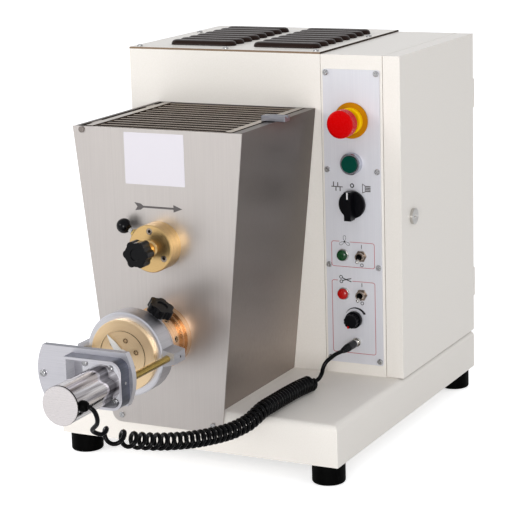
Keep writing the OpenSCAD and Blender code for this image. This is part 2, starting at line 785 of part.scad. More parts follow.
// Lobed clamping knob along +z, from its neck at 0 to its top, with a blind bore from below
neck_t = 3;
lobe_r = 5.5;
lobe_h = 2.6;
knob_bore_l = 12;
module lobed_knob(d, t, bore_l) {
  difference() {
    union() {
      cylinder(d = d * 0.56, h = neck_t + 1);
      translate([0, 0, neck_t]) linear_extrude(t) {
        circle(d / 2 - lobe_h);
        for (k = [0 : lobe_count - 1]) rotate(k * 360 / lobe_count) translate([d / 2 - lobe_r, 0]) circle(lobe_r);
      }
    }
    translate([0, 0, neck_t + t - 1.5]) cylinder(d = d * 0.42, h = 2);
    translate([0, 0, -1]) cylinder(d = knob_stud_d, h = bore_l + 1);
  }
}

module shaft_knob() {
  color("black") place() translate([hop_x, knob_back_y, mix_axis_z]) rotate([90, 0, 0])
    lobed_knob(knob_d, knob_t, knob_bore_l);
}

paddle_span = 186;
module mixer_shaft() {
  step = paddle_span / paddle_count;
  color("lightgray") place() translate([hop_x, 0, mix_axis_z]) {
    rod_y(mix_shaft_d / 2, boss_y + 4.5, bearing_y + bearing_plate_t + 2);
    for (k = [0 : paddle_count - 1]) translate([0, -base_front + 17 + step * (k + 0.5), 0])
      rotate([0, k * 360 / paddle_count * 2 + (k % 2) * 60, 0]) {
        cylinder(d = arm_d, h = paddle_r - 12);
        rotate([0, 0, 28]) translate([-paddle_w / 2 + 2, -2, paddle_r - 26]) cube([paddle_w - 4, 4, 22]);
      }
  }
}

// ---------- extruder ----------
barrel_spigot_r = bore_d / 2 + 4;
barrel_seat_r = barrel_d / 2;
set_y = plate_y - 27;
set_angles = [8, 54];
set_d = 8;

module barrel() {
  color("goldenrod") place() translate([hop_x, 0, ext_axis_z]) difference() {
    union() {
      rod_y(barrel_flange_d / 2, plate_y - barrel_flange_t + 6, plate_y);
      rod_y(barrel_flange_d / 2 - 3, plate_y - barrel_flange_t, plate_y - barrel_flange_t + 6 + tiny);
      rod_y(barrel_seat_r, barrel_y, plate_y);
      rod_y(barrel_spigot_r, plate_y - tiny, -base_front);
    }
    rod_y(bore_d / 2, barrel_y - 1, -base_front + 1);
    for (a = set_angles) translate([0, set_y, 0]) rotate([0, 90 - a, 0])
      translate([0, 0, bore_d / 2 + 6]) cylinder(d = set_d, h = 30);
  }
}

// The knob's stud goes through the die ring's wall and bears on the barrel
clamp_angle = 58;
clamp_y = ring_face_y + 34;
clamp_knob_d = 34;
clamp_knob_t = 11;
clamp_boss_r = 9;
module at_clamp() {
  translate([0, clamp_y, 0]) rotate([0, 90 - clamp_angle, 0]) children();
}

module clamp_knob() {
  foot_r = ring_d / 2 + rest_gap;
  color("black") place() translate([hop_x, 0, ext_axis_z]) at_clamp() {
    translate([0, 0, foot_r]) lobed_knob(clamp_knob_d, clamp_knob_t, 0);
    translate([0, 0, barrel_seat_r + rest_gap]) cylinder(d = knob_stud_d - 2 * run_gap, h = foot_r - barrel_seat_r);
  }
}

lug_reach = 67.5;
lug_root = 46;
lug_root_h = 24;
lug_tip_h = 13.5;
lug_y0 = ring_face_y + 1;
lug_y1 = ring_face_y + 28.5;
rod_in = 20;
ring_taper = 12;
module die_ring() {
  color("lightgray") place() translate([hop_x, 0, ext_axis_z]) difference() {
    union() {
      rod_y(ring_d / 2 - 1.5, ring_face_y, ring_face_y + 1.5, ring_d / 2);
      rod_y(ring_d / 2, ring_face_y + 1.5 - tiny, ring_face_y + ring_l - ring_taper);
      rod_y(ring_d / 2, ring_face_y + ring_l - ring_taper - tiny, ring_face_y + ring_l, ring_d / 2 - 5);
      for (s = [-1, 1]) slab_y(lug_y0, lug_y1) polygon([[s * lug_root, -lug_root_h / 2],
        [s * lug_reach, -lug_tip_h / 2], [s * lug_reach, lug_tip_h / 2], [s * lug_root, lug_root_h / 2]]);
      intersection() {
        at_clamp() translate([0, 0, ring_d / 2 - 8]) cylinder(r = clamp_boss_r, h = 8);
        rod_y(ring_d, ring_face_y, ring_face_y + ring_l);
      }
    }
    rod_y(die_d / 2 + fit_gap, ring_face_y - 1, barrel_y);
    rod_y(barrel_seat_r + fit_gap, barrel_y - 1, ring_face_y + ring_l + 1);
    for (s = [-1, 1]) translate([s * rod_reach, 0, 0]) rod_y(rod_d / 2 + run_gap, lug_y0 - 1, lug_y0 + rod_in);
    for (s = [-1, 1]) translate([s * (rod_reach - 1), lug_y0 + 16, 0]) rotate([0, s * 90, 0])
      cylinder(d = 3.2, h = 20);
    at_clamp() translate([0, 0, barrel_seat_r - 5]) cylinder(d = knob_stud_d, h = 30);
  }
}

module nozzle_places() {
  for (k = [0 : nozzle_count - 1]) rotate([0, -16 - k * 360 / nozzle_count, 0])
    translate([nozzle_reach, 0, 0]) children();
}

module die_plate() {
  color("goldenrod") place() translate([hop_x, 0, ext_axis_z]) difference() {
    union() {
      rod_y(die_d / 2 - 0.8, die_face_y, die_face_y + 0.8, die_d / 2);
      rod_y(die_d / 2, die_face_y + 0.8 - tiny, barrel_y);
    }
    difference() {
      rod_y(die_groove_d / 2, die_face_y - 1, die_face_y + 1);
      rod_y(die_groove_d / 2 - 1, die_face_y - 2, die_face_y + 2);
    }
    nozzle_places() rod_y(nozzle_d / 2 + run_gap, die_face_y - 1, die_face_y + 8);
    nozzle_places() rod_y(nozzle_d / 2 - 1, die_face_y, barrel_y + 1);
  }
}

module die_inserts() {
  color("goldenrod") place() translate([hop_x, 0, ext_axis_z]) nozzle_places() difference() {
    rod_y(nozzle_d / 2, die_face_y - 0.1, die_face_y + 8);
    difference() {
      rod_y(nozzle_d / 2 - 0.9, die_face_y - 1, die_face_y + 2);
      rod_y(nozzle_d / 2 - 1.7, die_face_y - 2, die_face_y + 3);
    }
  }
}

// Screw thread: its cross-section swells on one side and turns along the core
screw_r = bore_d / 2 - screw_play;
thread_points = 30;
function swell(a) = pow(max(0, cos(a)), 6);
module auger() {
  back_y = -8;
  front_y = barrel_y + 1;
  core = screw_core_d / 2;
  turns = (back_y - front_y) / screw_pitch;
  color("lightgray") place() translate([hop_x, 0, ext_axis_z]) {
    translate([0, back_y, 0]) rotate([90, 0, 0])
      linear_extrude(back_y - front_y, twist = -360 * turns, slices = ceil(turns * 10))
        polygon([for (k = [0 : thread_points - 1])
          let (a = 360 * k / thread_points, r = core + (screw_r - core) * swell(a > 180 ? a - 360 : a))
          r * [cos(a), sin(a)]]);
    rod_y(journal_r, back_y - 4, bearing_y + bearing_plate_t + 2);
  }
}

// ---------- main drive ----------
main_centres = mix_z - ext_z;
mixer_teeth = round(2 * main_centres / main_module) - auger_teeth;
gear_y = 28;
bearing_y = 60;
pinion_angle = 150;
pinion_centres = main_module * (auger_teeth + pinion_teeth) / 2;
pinion_x = hop_x + pinion_centres * cos(pinion_angle);
pinion_z = ext_axis_z + pinion_centres * sin(pinion_angle);
motor_shaft_r = 9;

module hub_gear(m, teeth, phase, shaft_r) {
  difference() {
    slab_y(gear_y, gear_y + gear_w) gear(m, teeth, phase);
    rod_y(shaft_r, gear_y - 1, gear_y + gear_w + 1);
  }
}

// A tooth of the screw's gear points up at the mixer's gear, and a gap faces it
module auger_gear() {
  color("darkgray") place() translate([hop_x, 0, ext_axis_z]) hub_gear(main_module, auger_teeth, 90, journal_r);
}

module mixer_gear() {
  color("darkgray") place() translate([hop_x, 0, mix_axis_z])
    hub_gear(main_module, mixer_teeth, -90 + 180 / mixer_teeth, mix_shaft_d / 2);
}

// Where the screw gear's tooth pattern stands at the line of centres, passed on to the pinion
module drive_pinion() {
  offset_teeth = (pinion_angle - 90) * auger_teeth / 360;
  phase = pinion_angle + 180 + (0.5 + (offset_teeth - floor(offset_teeth))) * 360 / pinion_teeth;
  color("darkgray") place() translate([pinion_x, 0, pinion_z]) {
    slab_y(gear_y, gear_y + gear_w) gear(main_module, pinion_teeth, phase);
    rod_y(motor_shaft_r, gear_y - 2, bearing_y + bearing_plate_t + 14);
  }
}

module bearing_plate() {
  color("gray") place() difference() {
    box([flange + 2, bearing_y, deck_z], [housing_w - flange - 2, bearing_y + bearing_plate_t, mix_axis_z + 60]);
    translate([hop_x, 0, mix_axis_z]) rod_y(mix_shaft_d / 2 + run_gap, bearing_y - 1, bearing_y + 20);
    translate([hop_x, 0, ext_axis_z]) rod_y(journal_r + run_gap, bearing_y - 1, bearing_y + 20);
    translate([pinion_x, 0, pinion_z]) rod_y(motor_shaft_r + run_gap, bearing_y - 1, bearing_y + 20);
  }
}

bearing_w = 12;
module shaft_bearings() {
  color("silver") place() for (s = [[mix_axis_z, mix_shaft_d / 2], [ext_axis_z, journal_r]])
    translate([hop_x, 0, s[0]]) difference() {
      union() {
        rod_y(30, sheet, sheet + 5);
        rod_y(22, sheet + 4, sheet + bearing_w);
      }
      rod_y(s[1] + run_gap, 0, 30);
    }
}

module drive_motor() {
  back_y = bearing_y + bearing_plate_t;
  color("slategray") place() translate([pinion_x, 0, pinion_z]) difference() {
    union() {
      rod_y(motor_d / 2 - 8, back_y, back_y + 40);
      rod_y(motor_d / 2, back_y + 39, back_y + motor_l - 20);
      rod_y(motor_d / 2 - 3, back_y + motor_l - 21, back_y + motor_l);
      box([-45, back_y + 20, -pinion_z + deck_z], [45, back_y + 120, -motor_d / 2 + 12]);
    }
    rod_y(motor_shaft_r + run_gap, back_y - 1, back_y + 18);
  }
}

fan_x = housing_w - 78.4;
fan_z = top_z - 90;
fan_side = 100;
fan_bore_r = 44;
fan_t = 24;
module fan_frame() {
  color("black") place() translate([fan_x, 0, fan_z]) {
    difference() {
      slab_y(cab_d - sheet - fan_t, cab_d - sheet) translate([-fan_side / 2, -fan_side / 2])
        rounded(fan_side, fan_side, 6);
      rod_y(fan_bore_r, cab_d - sheet - fan_t - 1, cab_d);
    }
    rod_y(18, cab_d - sheet - fan_t, cab_d - sheet - fan_t + 3);
    rod_y(3 - run_gap, cab_d - sheet - fan_t, cab_d - sheet - 11);
    for (a = [45, 135]) rotate([0, a, 0]) box([-fan_bore_r - 2, cab_d - sheet - fan_t, -2.5],
      [fan_bore_r + 2, cab_d - sheet - fan_t + 3, 2.5]);
  }
}

module fan_rotor() {
  front_y = cab_d - sheet - fan_t + 3 + rest_gap;
  color("dimgray") place() translate([fan_x, 0, fan_z]) difference() {
    union() {
      rod_y(19, front_y, front_y + 14);
      for (a = [0 : 60 : 300]) rotate([0, a, 0]) translate([16, front_y + 7, 0]) rotate([35, 0, 0])
        translate([0, -7, -1]) cube([fan_bore_r - 18, 14, 2]);
    }
    rod_y(3, front_y - 1, front_y + 11);
  }
}

// ---------- cutter ----------
frame_x0 = can_x - 44;
frame_z0 = ext_axis_z - 33;
pocket_d = 4.6;
cut_gear_t = 4;
cover_plate_t = 1.5;
module gear_pocket(gap) {
  translate([hop_x, ext_axis_z]) circle(cut_module * (cut_knife_teeth / 2 + 1) + gap);
  translate([can_x, can_z]) circle(cut_module * (cut_drive_teeth / 2 + 1) + gap);
}

module cutter_bracket() {
  flat = bracket_h / 2;
  color("lightgray") place() difference() {
    union() {
      intersection() {
        translate([hop_x, 0, ext_axis_z]) rod_y(bracket_d / 2, bracket_y, bracket_back_y);
        box([0, bracket_y - 1, ext_axis_z - flat], [base_w, bracket_back_y + 1, ext_axis_z + flat]);
      }
      slab_y(bracket_y - frame_d, bracket_y + tiny) difference() {
        translate([frame_x0, frame_z0]) frame_outline(frame_w, frame_h, 14);
        translate([frame_x0 + frame_t, frame_z0 + frame_t])
          frame_outline(frame_w - 2 * frame_t, frame_h - 2 * frame_t, 14 - frame_t);
      }
    }
    slab_y(bracket_back_y - pocket_d, bracket_back_y + 1) gear_pocket(1);
    translate([can_x, 0, can_z]) rod_y(4.2, bracket_y - 1, bracket_back_y);
    for (s = [-1, 1]) translate([hop_x + s * rod_reach, 0, ext_axis_z])
      rod_y(rod_d / 2 + run_gap, bracket_back_y - 4, bracket_back_y + 1);
  }
}

// Rectangle with its two right-hand corners rounded
module frame_outline(w, h, r) {
  square([w - r, h]);
  translate([0, r]) square([w, h - 2 * r]);
  for (y = [r, h - r]) translate([w - r, y]) circle(r);
}

module gear_cover() {
  color("silver") place() difference() {
    slab_y(bracket_back_y, bracket_back_y + cover_plate_t) gear_pocket(4);
    translate([hop_x, 0, ext_axis_z]) rod_y(spindle_d / 2 + run_gap, bracket_back_y - 1, bracket_back_y + 5);
  }
}

can_shaft_r = 4;
module cutter_motor() {
  back_y = bracket_y - can_flange_t;
  color("gainsboro") place() {
    difference() {
      slab_y(back_y, bracket_y) translate([can_x - 27, can_z - 20.5]) frame_outline(56, 46, 10);
      translate([can_x, 0, can_z]) rod_y(can_shaft_r + run_gap, back_y - 1, bracket_y + 1);
    }
    translate([can_x, 0, can_z]) difference() {
      union() {
        rod_y(can_d / 2, can_y + 2.6, back_y);
        rod_y(can_d / 2 - 0.8, can_y + 2, can_y + 3);
        rod_y(can_d / 2, can_y + 0.6, can_y + 2);
        rod_y(can_d / 2 - 0.6, can_y, can_y + 0.6, can_d / 2);
      }
      rod_y(can_shaft_r + run_gap, back_y - 6, bracket_y + 1);
      translate([0, gland_y, 0]) rotate([0, 90, 0]) cylinder(d = cord_gland_d + 2 * run_gap, h = can_d);
    }
  }
}

gland_y = can_y + 10;
cord_gland_d = 9;
cord_gland_out = 6;
module cord_gland() {
  color("black") place() translate([can_x, gland_y, can_z]) {
    rotate([0, 90, 0]) cylinder(d = cord_gland_d, h = can_d / 2 + cord_gland_out);
    translate([can_d / 2 + cord_gland_out, 0, 0]) sphere(d = cord_gland_d + 1);
  }
}

cut_gear_back = bracket_back_y - 0.3;
module cutter_pinion() {
  color("white") place() translate([can_x, 0, can_z]) {
    slab_y(cut_gear_back - cut_gear_t, cut_gear_back) gear(cut_module, cut_drive_teeth, cut_angle + 180);
    rod_y(can_shaft_r, bracket_y - can_flange_t - 5, cut_gear_back);
  }
}

module knife_spindle() {
  color("silver") place() translate([hop_x, 0, ext_axis_z]) {
    slab_y(cut_gear_back - cut_gear_t, cut_gear_back)
      gear(cut_module, cut_knife_teeth, cut_angle + 180 / cut_knife_teeth);
    rod_y(spindle_d / 2, cut_gear_back - tiny, die_face_y - knife_gap - blade_t);
  }
}

knife_gap = 0.4;
blade_t = 2.6;
knife_angle = 128;
module knife_blade() {
  color("white") place() translate([hop_x, 0, ext_axis_z])
    slab_y(die_face_y - knife_gap - blade_t, die_face_y - knife_gap) rotate(knife_angle) union() {
      polygon([[0, -5], [knife_reach * 0.6, -3.5], [knife_reach, 0], [knife_reach * 0.6, 3.5], [0, 5]]);
      circle(8.5);
    }
}

module guide_rods() {
  color("darkgoldenrod") place() for (s = [-1, 1]) translate([hop_x + s * rod_reach, 0, ext_axis_z])
    rod_y(rod_d / 2, bracket_back_y - 4, lug_y0 + rod_in);
}

// ---------- controls ----------
stop_z = deck_z + 340;
start_z = deck_z + 284;
selector_z = deck_z + 230.2;
lamp_x = panel_x - 15.5;
toggle_x = panel_x + 10.4;
fan_switch_z = deck_z + 161.5;
cutter_switch_z = deck_z + 109.5;
speed_z = deck_z + 76;
jack_x = panel_x + 2.3;
jack_z = deck_z + 45;
body_in = 30;

module control_panel() {
  color("lightsteelblue") place() difference() {
    slab_y(-panel_t, 0) translate([panel_x - panel_w / 2, deck_z + panel_edge]) rounded(panel_w, panel_h, 2.5);
    for (z = [stop_z, start_z, selector_z]) translate([panel_x, 0, z]) rod_y(operator_hole_d / 2, -5, 5);
    for (z = [fan_switch_z, cutter_switch_z]) {
      translate([lamp_x, 0, z]) rod_y(lamp_d / 2 - 1.5, -5, 5);
      translate([toggle_x, 0, z]) rod_y(toggle_d / 2, -5, 5);
    }
    translate([panel_x, 0, speed_z]) rod_y(pot_bush_r + fit_gap, -5, 5);
    translate([jack_x, 0, jack_z]) rod_y(jack_d / 2 - 1.5, -5, 5);
    for (x = [-panel_screw_x, panel_screw_x], z = panel_screw_zs)
      translate([panel_x + x, 0, z]) screw_hole(4);
  }
}

stop_stem_r = 6;
stop_travel = 5;
collar_out = 9;
module estop_collar() {
  color("gold") place() translate([panel_x, 0, stop_z]) difference() {
    union() {
      rod_y(stop_ring_d / 2, -panel_t - 3, -panel_t);
      rod_y(17, -panel_t - collar_out, -panel_t);
      rod_y(operator_hole_d / 2 - fit_gap, -panel_t - 1, body_in);
      rod_y(15, 0, 6);
    }
    rod_y(stop_stem_r + run_gap, -panel_t - collar_out - 1, body_in - 4);
  }
}

module estop_head() {
  neck_y = -panel_t - collar_out - stop_travel - 0.8;
  color("red") place() translate([panel_x, 0, stop_z]) {
    rod_y(stop_stem_r, neck_y, 15);
    rod_y(15, neck_y - 8, neck_y + tiny, 13);
    rod_y(stop_head_d / 2, neck_y - 22, neck_y - 8);
    rod_y(stop_head_d / 2 - 3, neck_y - 24.2, neck_y - 22 + tiny, stop_head_d / 2);
  }
}

start_travel = 3;
start_bezel = 8.3;
selector_bezel = 1.2;
module operator_bodies() {
  color("silver") place() for (s = [[start_z, start_d / 2 + 0.4, start_bezel], [selector_z, 8, selector_bezel]])
    translate([panel_x, 0, s[0]]) difference() {
      union() {
        rod_y(bezel_d / 2 - 0.8, -panel_t - s[2], -panel_t - s[2] + 0.8 + tiny, bezel_d / 2);
        rod_y(bezel_d / 2, -panel_t - s[2] + 0.8, -panel_t);
        rod_y(operator_hole_d / 2 - fit_gap, -panel_t - 1, body_in);
        rod_y(15, 0, 6);
      }
      rod_y(s[1], -panel_t - s[2] - 1, -panel_t - 0.6);
      rod_y(8, -panel_t - 1, body_in - 4);
    }
}

module start_button() {
  color("green") place() translate([panel_x, 0, start_z]) {
    rod_y(start_d / 2, -panel_t - 10.7, -panel_t - 0.6 - start_travel - 0.2);
    rod_y(8 - run_gap, -panel_t - 5, body_in - 6 - start_travel);
  }
}

module selector_knob() {
  knob_y = -panel_t - selector_bezel - rest_gap;
  color("black") place() translate([panel_x, 0, selector_z]) {
    rod_y(8 - run_gap, knob_y, 15);
    rod_y(selector_d / 2, knob_y - 3.3, knob_y);
    rod_y(selector_d / 2 - 1, knob_y - 4.3, knob_y - 3.3 + tiny, selector_d / 2);
    difference() {
      box([-4.8, knob_y - 17.1, -selector_d / 2 - 0.9], [4.8, knob_y - 4, selector_d / 2 + 0.4]);
      box([-1, knob_y - 18, selector_d / 4], [1, knob_y - 16.1, selector_d]);
    }
  }
}

module pilot_lamps() {
  color("darkgreen") place() for (z = [fan_switch_z, cutter_switch_z]) translate([lamp_x, 0, z]) {
    rod_y(lamp_d / 2, -panel_t - 2, -panel_t);
    rod_y(lamp_d / 2 - 2.5, -panel_t - 5, -panel_t - 2 + tiny, lamp_d / 2 - 1);
    rod_y(lamp_d / 2 - 1.6, -panel_t - 1, 14);
  }
}

pivot_y = -panel_t - 4;
drum_r = 2.4;
pocket_r = 3.6;
module toggle_switches() {
  color("silver") place() for (z = [fan_switch_z, cutter_switch_z]) translate([toggle_x, 0, z]) difference() {
    union() {
      translate([0, -panel_t - 2, 0]) rotate([-90, 0, 0]) cylinder(d = 16, h = 2, $fn = 6);
      rod_y(toggle_d / 2 - fit_gap, -panel_t - 8, 2);
      box([-6.5, 1, -10], [6.5, 18, 10]);
    }
    rod_y(pocket_r, pivot_y - 2.5, pivot_y + 4);
    rod_y(4.8, -panel_t - 9, pivot_y - 2, pocket_r);
  }
}

lever_l = 10.5;
lever_drop = 26;
module toggle_lever(z) {
  color("silver") place() translate([toggle_x, pivot_y, z]) {
    rotate([0, 90, 0]) cylinder(r = drum_r, h = 2 * drum_r, center = true);
    rotate([90 + lever_drop, 0, 0]) {
      cylinder(r1 = 1.4, r2 = 2.5, h = lever_l);
      translate([0, 0, lever_l]) sphere(r = 2.5);
    }
  }
}
module fan_toggle() { toggle_lever(fan_switch_z); }
module cutter_toggle() { toggle_lever(cutter_switch_z); }

pot_bush_r = 4.7;
pot_shaft_r = 3;
module speed_pot() {
  color("silver") place() translate([panel_x, 0, speed_z]) {
    rod_y(pot_bush_r, -panel_t - 2, 1);
    rod_y(11, tiny, 10);
    rod_y(pot_shaft_r, -panel_t - 12, -panel_t);
  }
}

module speed_knob() {
  back_y = -panel_t - 2 - rest_gap;
  grip_r = speed_d / 2 - 2;
  color("black") place() translate([panel_x, 0, speed_z]) difference() {
    union() {
      rod_y(speed_d / 2, back_y - 5, back_y);
      slab_y(back_y - 14, back_y - 5 + tiny) difference() {
        circle(grip_r);
        for (a = [0 : 30 : 330]) rotate(a) translate([grip_r + 0.5, 0]) circle(1.3);
      }
    }
    rod_y(pot_shaft_r + run_gap, back_y - 11, back_y + 1);
  }
}

// ---------- cord ----------
plug_pin_r = 3.1;
plug_body_r = 5.5;
plug_back_y = -48;
module panel_jack() {
  color("silver") place() translate([jack_x, 0, jack_z]) difference() {
    union() {
      rod_y(jack_d / 2, -panel_t - 3, -panel_t);
      rod_y(jack_d / 2 - 1.6, -panel_t - 1, 16);
    }
    rod_y(plug_pin_r + run_gap, -panel_t - 4, 14);
  }
}

module cord_plug() {
  color("black") place() translate([jack_x, 0, jack_z]) {
    rod_y(plug_pin_r, -panel_t - 5, 12);
    rod_y(4.2, -panel_t - 9, -panel_t - 3);
    rod_y(plug_body_r, plug_back_y + 8, -panel_t - 9 + tiny);
    rod_y(3.4, plug_back_y, plug_back_y + 8 + tiny, plug_body_r);
  }
}

// Route of the cord, in machine coordinates: from the cutter motor to the panel's socket
lead_points = [[215, -492, 167], [220, -492, 166], [224, -490, 161], [225, -487, 153], [222, -483, 145],
  [215, -479, 138], [208, -475, 133]];
coil_points = [[208, -475, 133], [212, -466, 128], [219, -446, 118], [231, -412, 104], [246, -371, 92],
  [262, -325, 83], [278, -279, 79], [288, -250, 81.5], [292, -235, 85.5], [294.5, -221, 90], [295.5, -208, 91.5],
  [296, -190, 91.4], [296.5, -150, 91], [299, -115, 91], [305, -84, 91]];
plug_points = [[305, -84, 91], [308, -78, 92], [311, -76, 98], [313, -76, 106], [316, -74, 114],
  [321, -69, 120], [326, -60, 124], [jack_x, -52, jack_z], [jack_x, plug_back_y, jack_z]];

module motor_lead() {
  color("black") place() tube(lead_points, cord_d / 2, 8, [0, 1, 0]);
}
module cord_coil() {
  color("black") place() tube(coil_points, curl_d / 2, 10, [0, 0, 1]);
}
module plug_lead() {
  color("black") place() tube(plug_points, cord_d / 2, 8, [1, 0, 0]);
}

base_tray();
feet();
main_housing();
top_cover();
vent_louvers();
casing_screws();
electrical_box();
control_panel();
hopper_front();
hopper_body();
barrel();
mixer_boss();
die_ring();
die_plate();
die_inserts();
guide_rods();
cutter_bracket();
gear_cover();
cutter_motor();
cord_gland();
motor_lead();
cord_coil();
plug_lead();
cord_plug();
panel_jack();
estop_collar();
operator_bodies();
pilot_lamps();
toggle_switches();
speed_pot();
drive_motor();
bearing_plate();
shaft_bearings();
contactors();
mains_gland();
fan_frame();
lid_rod();
lid_grille();
lid_latch();
mixer_shaft();
mixer_gear();
auger();
auger_gear();
drive_pinion();
knife_blade();
knife_spindle();
cutter_pinion();
pin_sleeve();
pull_pin();
shaft_knob();
clamp_knob();
estop_head();
start_button();
selector_knob();
fan_toggle();
cutter_toggle();
speed_knob();
side_door();
door_lock();
fan_rotor();
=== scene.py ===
"""Electric pasta maker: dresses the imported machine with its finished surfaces, cord and stage."""
import json
import math

import bmesh
import bpy
from bpy.props import FloatProperty, FloatVectorProperty, IntProperty, PointerProperty
from mathutils import Matrix, Vector

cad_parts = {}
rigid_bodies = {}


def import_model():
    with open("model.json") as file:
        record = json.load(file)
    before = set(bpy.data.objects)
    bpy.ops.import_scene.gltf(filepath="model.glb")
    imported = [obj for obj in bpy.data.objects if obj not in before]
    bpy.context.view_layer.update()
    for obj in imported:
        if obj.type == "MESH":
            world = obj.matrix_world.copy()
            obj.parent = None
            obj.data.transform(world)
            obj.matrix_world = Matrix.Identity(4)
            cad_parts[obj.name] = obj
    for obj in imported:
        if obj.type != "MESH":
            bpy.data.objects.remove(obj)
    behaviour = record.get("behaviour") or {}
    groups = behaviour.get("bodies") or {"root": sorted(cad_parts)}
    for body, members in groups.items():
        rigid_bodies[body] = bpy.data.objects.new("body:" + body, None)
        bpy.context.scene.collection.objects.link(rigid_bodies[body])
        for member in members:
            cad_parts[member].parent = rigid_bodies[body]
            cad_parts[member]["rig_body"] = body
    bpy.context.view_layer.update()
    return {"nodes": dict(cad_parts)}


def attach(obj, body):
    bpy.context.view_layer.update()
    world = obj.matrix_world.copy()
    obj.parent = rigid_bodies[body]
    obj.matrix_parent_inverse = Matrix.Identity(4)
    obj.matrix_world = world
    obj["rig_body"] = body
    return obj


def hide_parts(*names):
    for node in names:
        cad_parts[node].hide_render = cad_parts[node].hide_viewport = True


bl_info = {
    "name": "Electric pasta maker",
    "version": (1, 0, 0),
    "blender": (4, 5, 0),
    "location": "View3D > Sidebar > Pasta maker",
    "description": "Builds the visible surfaces of a table-top pasta extruder on its packed frame",
    "category": "Object",
}

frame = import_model()
NODES = frame["nodes"]

# ---------------------------------------------------------------- places
ORIGIN = Vector((199.0, -114.0, -80.0))  # the row's origin in machine coordinates, mm
HOP_X, MIX_Z, EXT_Z = 158.5, 209.0, 93.0
PLATE_Y = -215.0
CAN_X, CAN_Z, FLANGE_Y = 185.96, 86.91, -408.5  # the cutter motor's axis and its flange's front
FRAME_X, FRAME_Z = 180.5, 89.5  # middle of the frame round that motor
PANEL_X = 327.0
FOIL_Y = -2.0
SPEED_Z, JACK_Z = 76.0, 45.0
FAN_Z, CUTTER_Z = 161.5, 109.5  # the two rows of lamp and switch
LAMP_X, TOGGLE_X, JACK_X = 311.5, 337.4, 329.3
FRONT, RIGHT, BACK = (0, -1, 0), (1, 0, 0), (0, 1, 0)
CAMERA_AT, CAMERA_LENS = (1307.27, -2210.20, 717.67), 133.26  # machine mm, and mm on a 36 mm sensor
CAMERA_TURN, CAMERA_DOWN, CAMERA_ROLL = 26.97, 12.90, -1.73  # degrees


def at(x, y, z):
    """Machine millimetres (x from the left side, y from the cabinet's front, z from the base's top) to metres."""
    return (Vector((x, y, z)) - ORIGIN) / 1000.0


def mm(value):
    return value / 1000.0


# ---------------------------------------------------------------- colour and material tools
def linear(code):
    """sRGB hex to linear colour."""
    parts = [int(code[i:i + 2], 16) / 255 for i in (1, 3, 5)]
    return tuple(c / 12.92 if c <= 0.04045 else ((c + 0.055) / 1.055) ** 2.4 for c in parts)


def add(tree, kind, values=None, links=None):
    """Adds a node. values holds its properties and input values, links its inputs' sources: a socket, or a node for
    its first output."""
    made = tree.nodes.new("ShaderNode" + kind)
    for key, value in (values or {}).items():
        if isinstance(key, int) or key in made.inputs:
            made.inputs[key].default_value = value
        else:
            setattr(made, key, value)
    for key, source in (links or {}).items():
        tree.links.new(getattr(source, "outputs", [source])[0], made.inputs[key])
    return made


def plain(name, code, roughness, metallic=0.0, specular=0.5):
    """A named material with its shader's own sockets set."""
    made = bpy.data.materials.new(name)
    made.use_nodes = True
    shader = made.node_tree.nodes["Principled BSDF"]
    for key, value in (("Base Color", (*linear(code), 1)), ("Roughness", roughness), ("Metallic", metallic),
                       ("Specular IOR Level", specular)):
        shader.inputs[key].default_value = value
    return made, made.node_tree, shader


def ramp(tree, source, stops):
    """Colour ramp from [(position, colour or grey)]."""
    made = add(tree, "ValToRGB", links={"Fac": source})
    elements = made.color_ramp.elements
    while len(elements) < len(stops):
        elements.new(0.5)
    for element, (where, value) in zip(elements, stops):
        element.position = where
        element.color = (*value, 1) if hasattr(value, "__len__") else (value, value, value, 1)
    return made


def space(tree, size_mm, centre=(0, 0, 0)):
    """Object coordinates, one unit for size_mm along each axis."""
    coords = add(tree, "TexCoord")
    scale = [1000.0 / s for s in size_mm]
    return add(tree, "Mapping",
               {"Location": tuple(-c * s for c, s in zip(centre, scale)), "Scale": tuple(scale)},
               {"Vector": coords.outputs["Object"]}).outputs[0]


def rings(tree, axis_point, pitch_mm):
    """Coordinates that run outwards from a turning axis along Y, one unit for pitch_mm."""
    where = space(tree, (pitch_mm,) * 3, axis_point)
    split = add(tree, "SeparateXYZ", links={"Vector": where})
    flat = add(tree, "CombineXYZ", links={"X": split.outputs[0], "Z": split.outputs[2]})
    reach = add(tree, "VectorMath", {"operation": "LENGTH"}, {0: flat})
    return add(tree, "CombineXYZ", links={"X": reach.outputs["Value"], "Y": split.outputs[1]}).outputs[0]


def uneven(tree, shader, where, detail, rough, height, bump_scale, tone=None):
    """Lets one noise vary roughness, tone and height over a surface."""
    cloud = add(tree, "TexNoise", {"Scale": 1.0, "Detail": detail}, {"Vector": where}).outputs["Fac"]
    tree.links.new(ramp(tree, cloud, [(0.3, rough[0]), (0.7, rough[1])]).outputs[0], shader.inputs["Roughness"])
    if tone:
        tree.links.new(ramp(tree, cloud, [(0.3, linear(tone[0])), (0.7, linear(tone[1]))]).outputs[0],
                       shader.inputs["Base Color"])
    bump = add(tree, "Bump", {"Strength": bump_scale, "Distance": mm(height)}, {"Height": cloud})
    tree.links.new(bump.outputs[0], shader.inputs["Normal"])


# ---------------------------------------------------------------- materials
def powder_coat():
    """Cream powder coat on folded sheet steel: a satin skin with a fine orange-peel that softens highlights."""
    made, tree, shader = plain("powder_coated_steel_cream", "#EEE9E1", 0.4, specular=0.4)
    uneven(tree, shader, space(tree, (1.6, 1.6, 1.6)), 3, rough=(0.36, 0.46), tone=("#ECE7DF", "#F0EBE4"),
           height=0.02, bump_scale=0.35)
    return made


